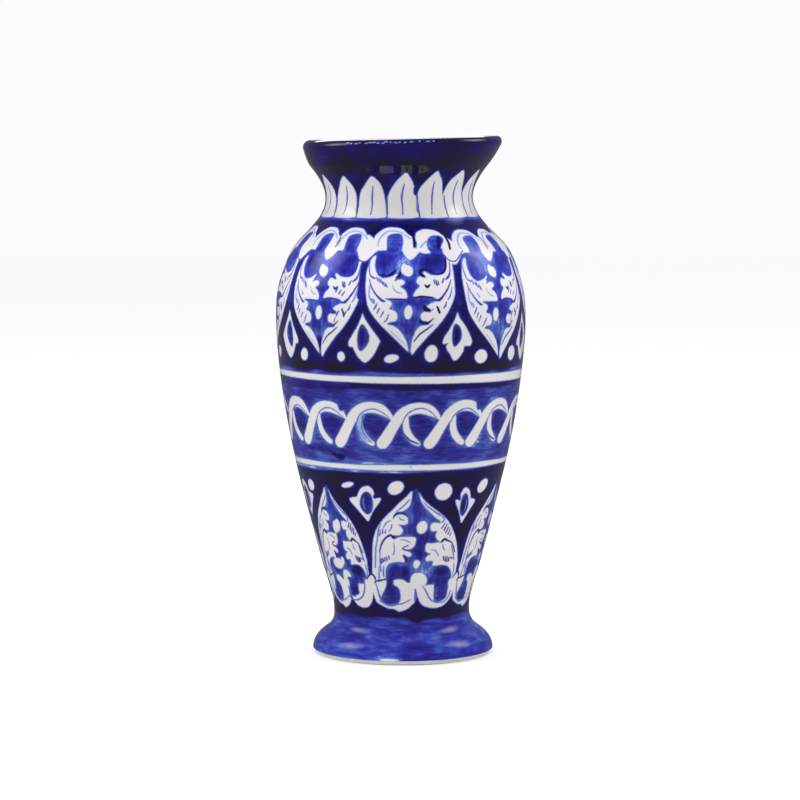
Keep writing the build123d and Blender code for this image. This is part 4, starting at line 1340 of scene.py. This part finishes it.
class LuteSeams(bpy.types.Operator):
    """Fill the three seams between the sections with liquid clay"""

    bl_idname = "vase.lute_seams"
    bl_label = "Lute seams"

    def execute(self, context):
        sizes = context.scene.vase_sizes
        form = Form(sizes)
        depth = 2.3
        slurry = kept("seam_slurry", fired_clay, context.scene.vase_colours.luting)
        for node, level in (("foot_luting", sizes.foot_seam), ("belly_luting", sizes.belly_seam),
                            ("neck_luting", sizes.neck_level)):
            level = level / MM
            out = form.radius_at(level) - sizes.coat / MM - 0.05
            mid, far = out - depth, out - 2 * depth
            line = [(out, level), (out, level + 0.9), (mid, level + 0.9), (mid, level + 2.9),
                    (far, level + 3), (far, level + 2.1), (mid - 0.2, level + 2), (mid - 0.2, level)]
            finished(turned(f"{node}_ring", line, 240), slurry, "luting_clay", node)
        return {"FINISHED"}


class LineInside(bpy.types.Operator):
    """Coat the inside white from the floor to the crest of the lip"""

    bl_idname = "vase.line_inside"
    bl_label = "Line the inside"

    def execute(self, context):
        sizes = context.scene.vase_sizes
        form = Form(sizes)
        coat, wall, floor = sizes.coat / MM, form.wall, sizes.floor_level / MM
        lean = math.degrees(form.lean)
        corner = form.under(wall, floor + 12, floor + 20, 2)[0]
        round_off = [(corner[0] * share, floor + 12 * rise) for share, rise in (
            (0.985, 0.72), (0.93, 0.42), (0.84, 0.19), (0.72, 0.05), (0.58, 0.0), (0.3, 0.0))]
        behind = [(r + coat * 0.7 * (r / corner[0]), z - coat * (1.1 - r / corner[0] * 0.5))
                  for r, z in round_off]
        low = [(0, floor), *round_off[::-1], *form.under(wall, floor + 12, 126, 2),
               *form.under(wall - coat, floor + 11, 126, 4)[::-1], *behind, (0, floor - coat)]
        middle = [*form.under(wall, 126, 250, 2), *form.under(wall - coat, 126, 250, 4)[::-1]]
        high = [*form.under(wall, 250, form.lip_end[1] + 3, 1.2),
                *form.lip_arc(form.bead, 172 - lean, 90, 14),
                *form.lip_arc(form.bead - coat, 90, 172 - lean, 9),
                *form.under(wall - coat, 250, form.lip_end[1] + 2.4, 4)[::-1]]
        white = kept("clouded_white_glaze", coated_white)
        for name, line in (("floor_lining", low), ("body_lining", middle), ("neck_lining", high)):
            made = turned(name, np.array(line)[::-1], 400, to_axis=name == "floor_lining")
            finished(made, white, "white_glaze", "inner_glaze", "inner_slip")
        return {"FINISHED"}


class PaintNeck(bpy.types.Operator):
    """Paint the neck: dark lip and a ring of petals"""

    bl_idname = "vase.paint_neck"
    bl_label = "Paint neck"

    def execute(self, context):
        painted_band(context, "neck_band", NECK_LINE)
        return {"FINISHED"}


class PaintShoulder(bpy.types.Operator):
    """Paint the shoulder: garland, leaf panels and spades"""

    bl_idname = "vase.paint_shoulder"
    bl_label = "Paint shoulder"

    def execute(self, context):
        painted_band(context, "shoulder_band", PANEL_LINE, NECK_LINE)
        painted_band(context, "panel_band", SCROLL_TOP, PANEL_LINE)
        return {"FINISHED"}


class PaintScroll(bpy.types.Operator):
    """Paint the running scroll between two white lines"""

    bl_idname = "vase.paint_scroll"
    bl_label = "Paint scroll"

    def execute(self, context):
        painted_band(context, "scroll_band", SCROLL_FOOT, SCROLL_TOP)
        return {"FINISHED"}


class PaintFlank(bpy.types.Operator):
    """Paint the flank: arches, spades and the lower garland"""

    bl_idname = "vase.paint_flank"
    bl_label = "Paint flank"

    def execute(self, context):
        painted_band(context, "arch_band", ARCH_LINE, SCROLL_FOOT)
        painted_band(context, "garland_band", FOOT_LINE, ARCH_LINE)
        return {"FINISHED"}


class PaintFoot(bpy.types.Operator):
    """Wash the foot in streaks of cobalt down to its bare edge"""

    bl_idname = "vase.paint_foot"
    bl_label = "Paint foot"

    def execute(self, context):
        painted_band(context, "foot_band", context.scene.vase_sizes.bare_foot / MM, FOOT_LINE)
        return {"FINISHED"}


class SetStage(bpy.types.Operator):
    """Lay the floor and set the lights and the camera"""

    bl_idname = "vase.set_stage"
    bl_label = "Set stage"

    def execute(self, context):
        scene = context.scene
        across, away = np.meshgrid(np.linspace(-6, 6, 5), np.linspace(-6, 6, 5))
        points = np.stack([across, away, np.zeros_like(across)], axis=-1).reshape(-1, 3)
        corner = (np.arange(4)[:, None] * 5 + np.arange(4)).reshape(-1, 1)
        mesh = bpy.data.meshes.new("floor")
        mesh.from_pydata(points.tolist(), [], (corner + np.array((0, 1, 6, 5))).tolist())
        mesh.materials.append(kept("stage_white", matt_white, scene.vase_colours.stage))
        floor = bpy.data.objects.new("floor", mesh)
        scene.collection.objects.link(floor)
        floor.visible_glossy = False

        # The room's white lights the pot fully but shows only faintly as a reflection in the glaze.
        world = bpy.data.worlds.new("studio")
        scene.world = world
        world.use_nodes = True
        nodes, links = world.node_tree.nodes, world.node_tree.links
        back = next(n for n in nodes if n.type == "BACKGROUND")
        back.inputs["Color"].default_value = (0.97, 0.975, 0.985, 1)
        choice = nodes.new("ShaderNodeMapRange")
        choice.inputs["To Min"].default_value = 1.0
        choice.inputs["To Max"].default_value = 0.16
        links.new(nodes.new("ShaderNodeLightPath").outputs["Is Glossy Ray"], choice.inputs["Value"])
        links.new(choice.outputs[0], back.inputs["Strength"])

        # Each side's box is a nest of round lamps, brightest in its middle. The fill above lights
        # the shoulder without a reflection, and a flat strip behind grazes the rim.
        lamps = [(f"{side}_box_{size}", spot, size / 100, (9.2 - 0.1 * size) * (size / 100) ** 2)
                 for side, spot in (("left", (-0.98, 0.0, 0.88)), ("right", (0.97, 0.17, 0.9)))
                 for size in range(14, 90, 10)]
        lamps += [("top_fill", (0.1, -0.7, 2.2), 1.4, 5), ("rim_strip", (-0.12, 1.3, 0.98), 0.9, 3.5)]
        for name, spot, size, power in lamps:
            light = bpy.data.lights.new(name, "AREA")
            light.shape = "DISK"
            light.size = size
            light.energy = power
            if name == "rim_strip":
                light.shape, light.size_y = "ELLIPSE", 0.25
            lamp = bpy.data.objects.new(name, light)
            scene.collection.objects.link(lamp)
            lamp.location = spot
            lamp.rotation_euler = looking(spot, LAMP_AIM)
            lamp.visible_glossy = name != "top_fill"

        camera = bpy.data.cameras.new("camera")
        camera.sensor_width = 36
        camera.lens = CAMERA_LENS
        held = bpy.data.objects.new("camera", camera)
        scene.collection.objects.link(held)
        held.location = CAMERA_PLACE
        held.rotation_euler = (math.radians(90 - CAMERA_TIP), 0, 0)
        scene.camera = held
        scene.view_settings.view_transform = "Standard"
        return {"FINISHED"}


def matt_white(mix, shade):
    """The stage's floor: white without any gloss, very faintly cloudy."""
    cloud = mix.node("ShaderNodeTexNoise", in_Scale=3.0).outputs["Fac"]
    mix.give(mix.shader.inputs["Base Color"], mix.ramp(cloud, (0.3, np.array(shade) * 0.985), (0.7, shade)))
    mix.shader.inputs["Roughness"].default_value = 1.0
    mix.shader.inputs["Specular IOR Level"].default_value = 0.0


def looking(spot, aim):
    """Turns that point a lamp at a place: it looks down its own axis, tipped then swung."""
    gaze = np.array(aim) - np.array(spot)
    return (math.atan2(math.hypot(gaze[0], gaze[1]), -gaze[2]), 0, math.atan2(-gaze[0], gaze[1]))


class VasePanel(bpy.types.Panel):
    """Sizes, colours and steps of the vase"""

    bl_idname = "VASE_PT_steps"
    bl_label = "Painted vase"
    bl_space_type = "VIEW_3D"
    bl_region_type = "UI"
    bl_category = "Vase"

    def draw(self, context):
        layout = self.layout
        for group in (context.scene.vase_sizes, context.scene.vase_colours):
            box = layout.box()
            for name in group.__annotations__:
                box.prop(group, name)
        for step in STEPS:
            layout.operator(step.bl_idname)


STEPS = (SetStage, ThrowClay, LuteSeams, LineInside, PaintNeck, PaintShoulder, PaintScroll, PaintFlank,
         PaintFoot)
CLASSES = (VaseSizes, VaseColours, *STEPS, VasePanel)


def register():
    """Adds the classes and the two groups of settings to Blender."""
    for each in CLASSES:
        bpy.utils.register_class(each)
    bpy.types.Scene.vase_sizes = PointerProperty(type=VaseSizes)
    bpy.types.Scene.vase_colours = PointerProperty(type=VaseColours)


def unregister():
    """Takes the settings and the classes away again."""
    del bpy.types.Scene.vase_sizes
    del bpy.types.Scene.vase_colours
    for each in reversed(CLASSES):
        bpy.utils.unregister_class(each)


def main():
    """Makes the whole vase and its stage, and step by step."""
    register()
    for step in STEPS:
        group, name = step.bl_idname.split(".")
        getattr(getattr(bpy.ops, group), name)()


if __name__ == "__main__":
    main()
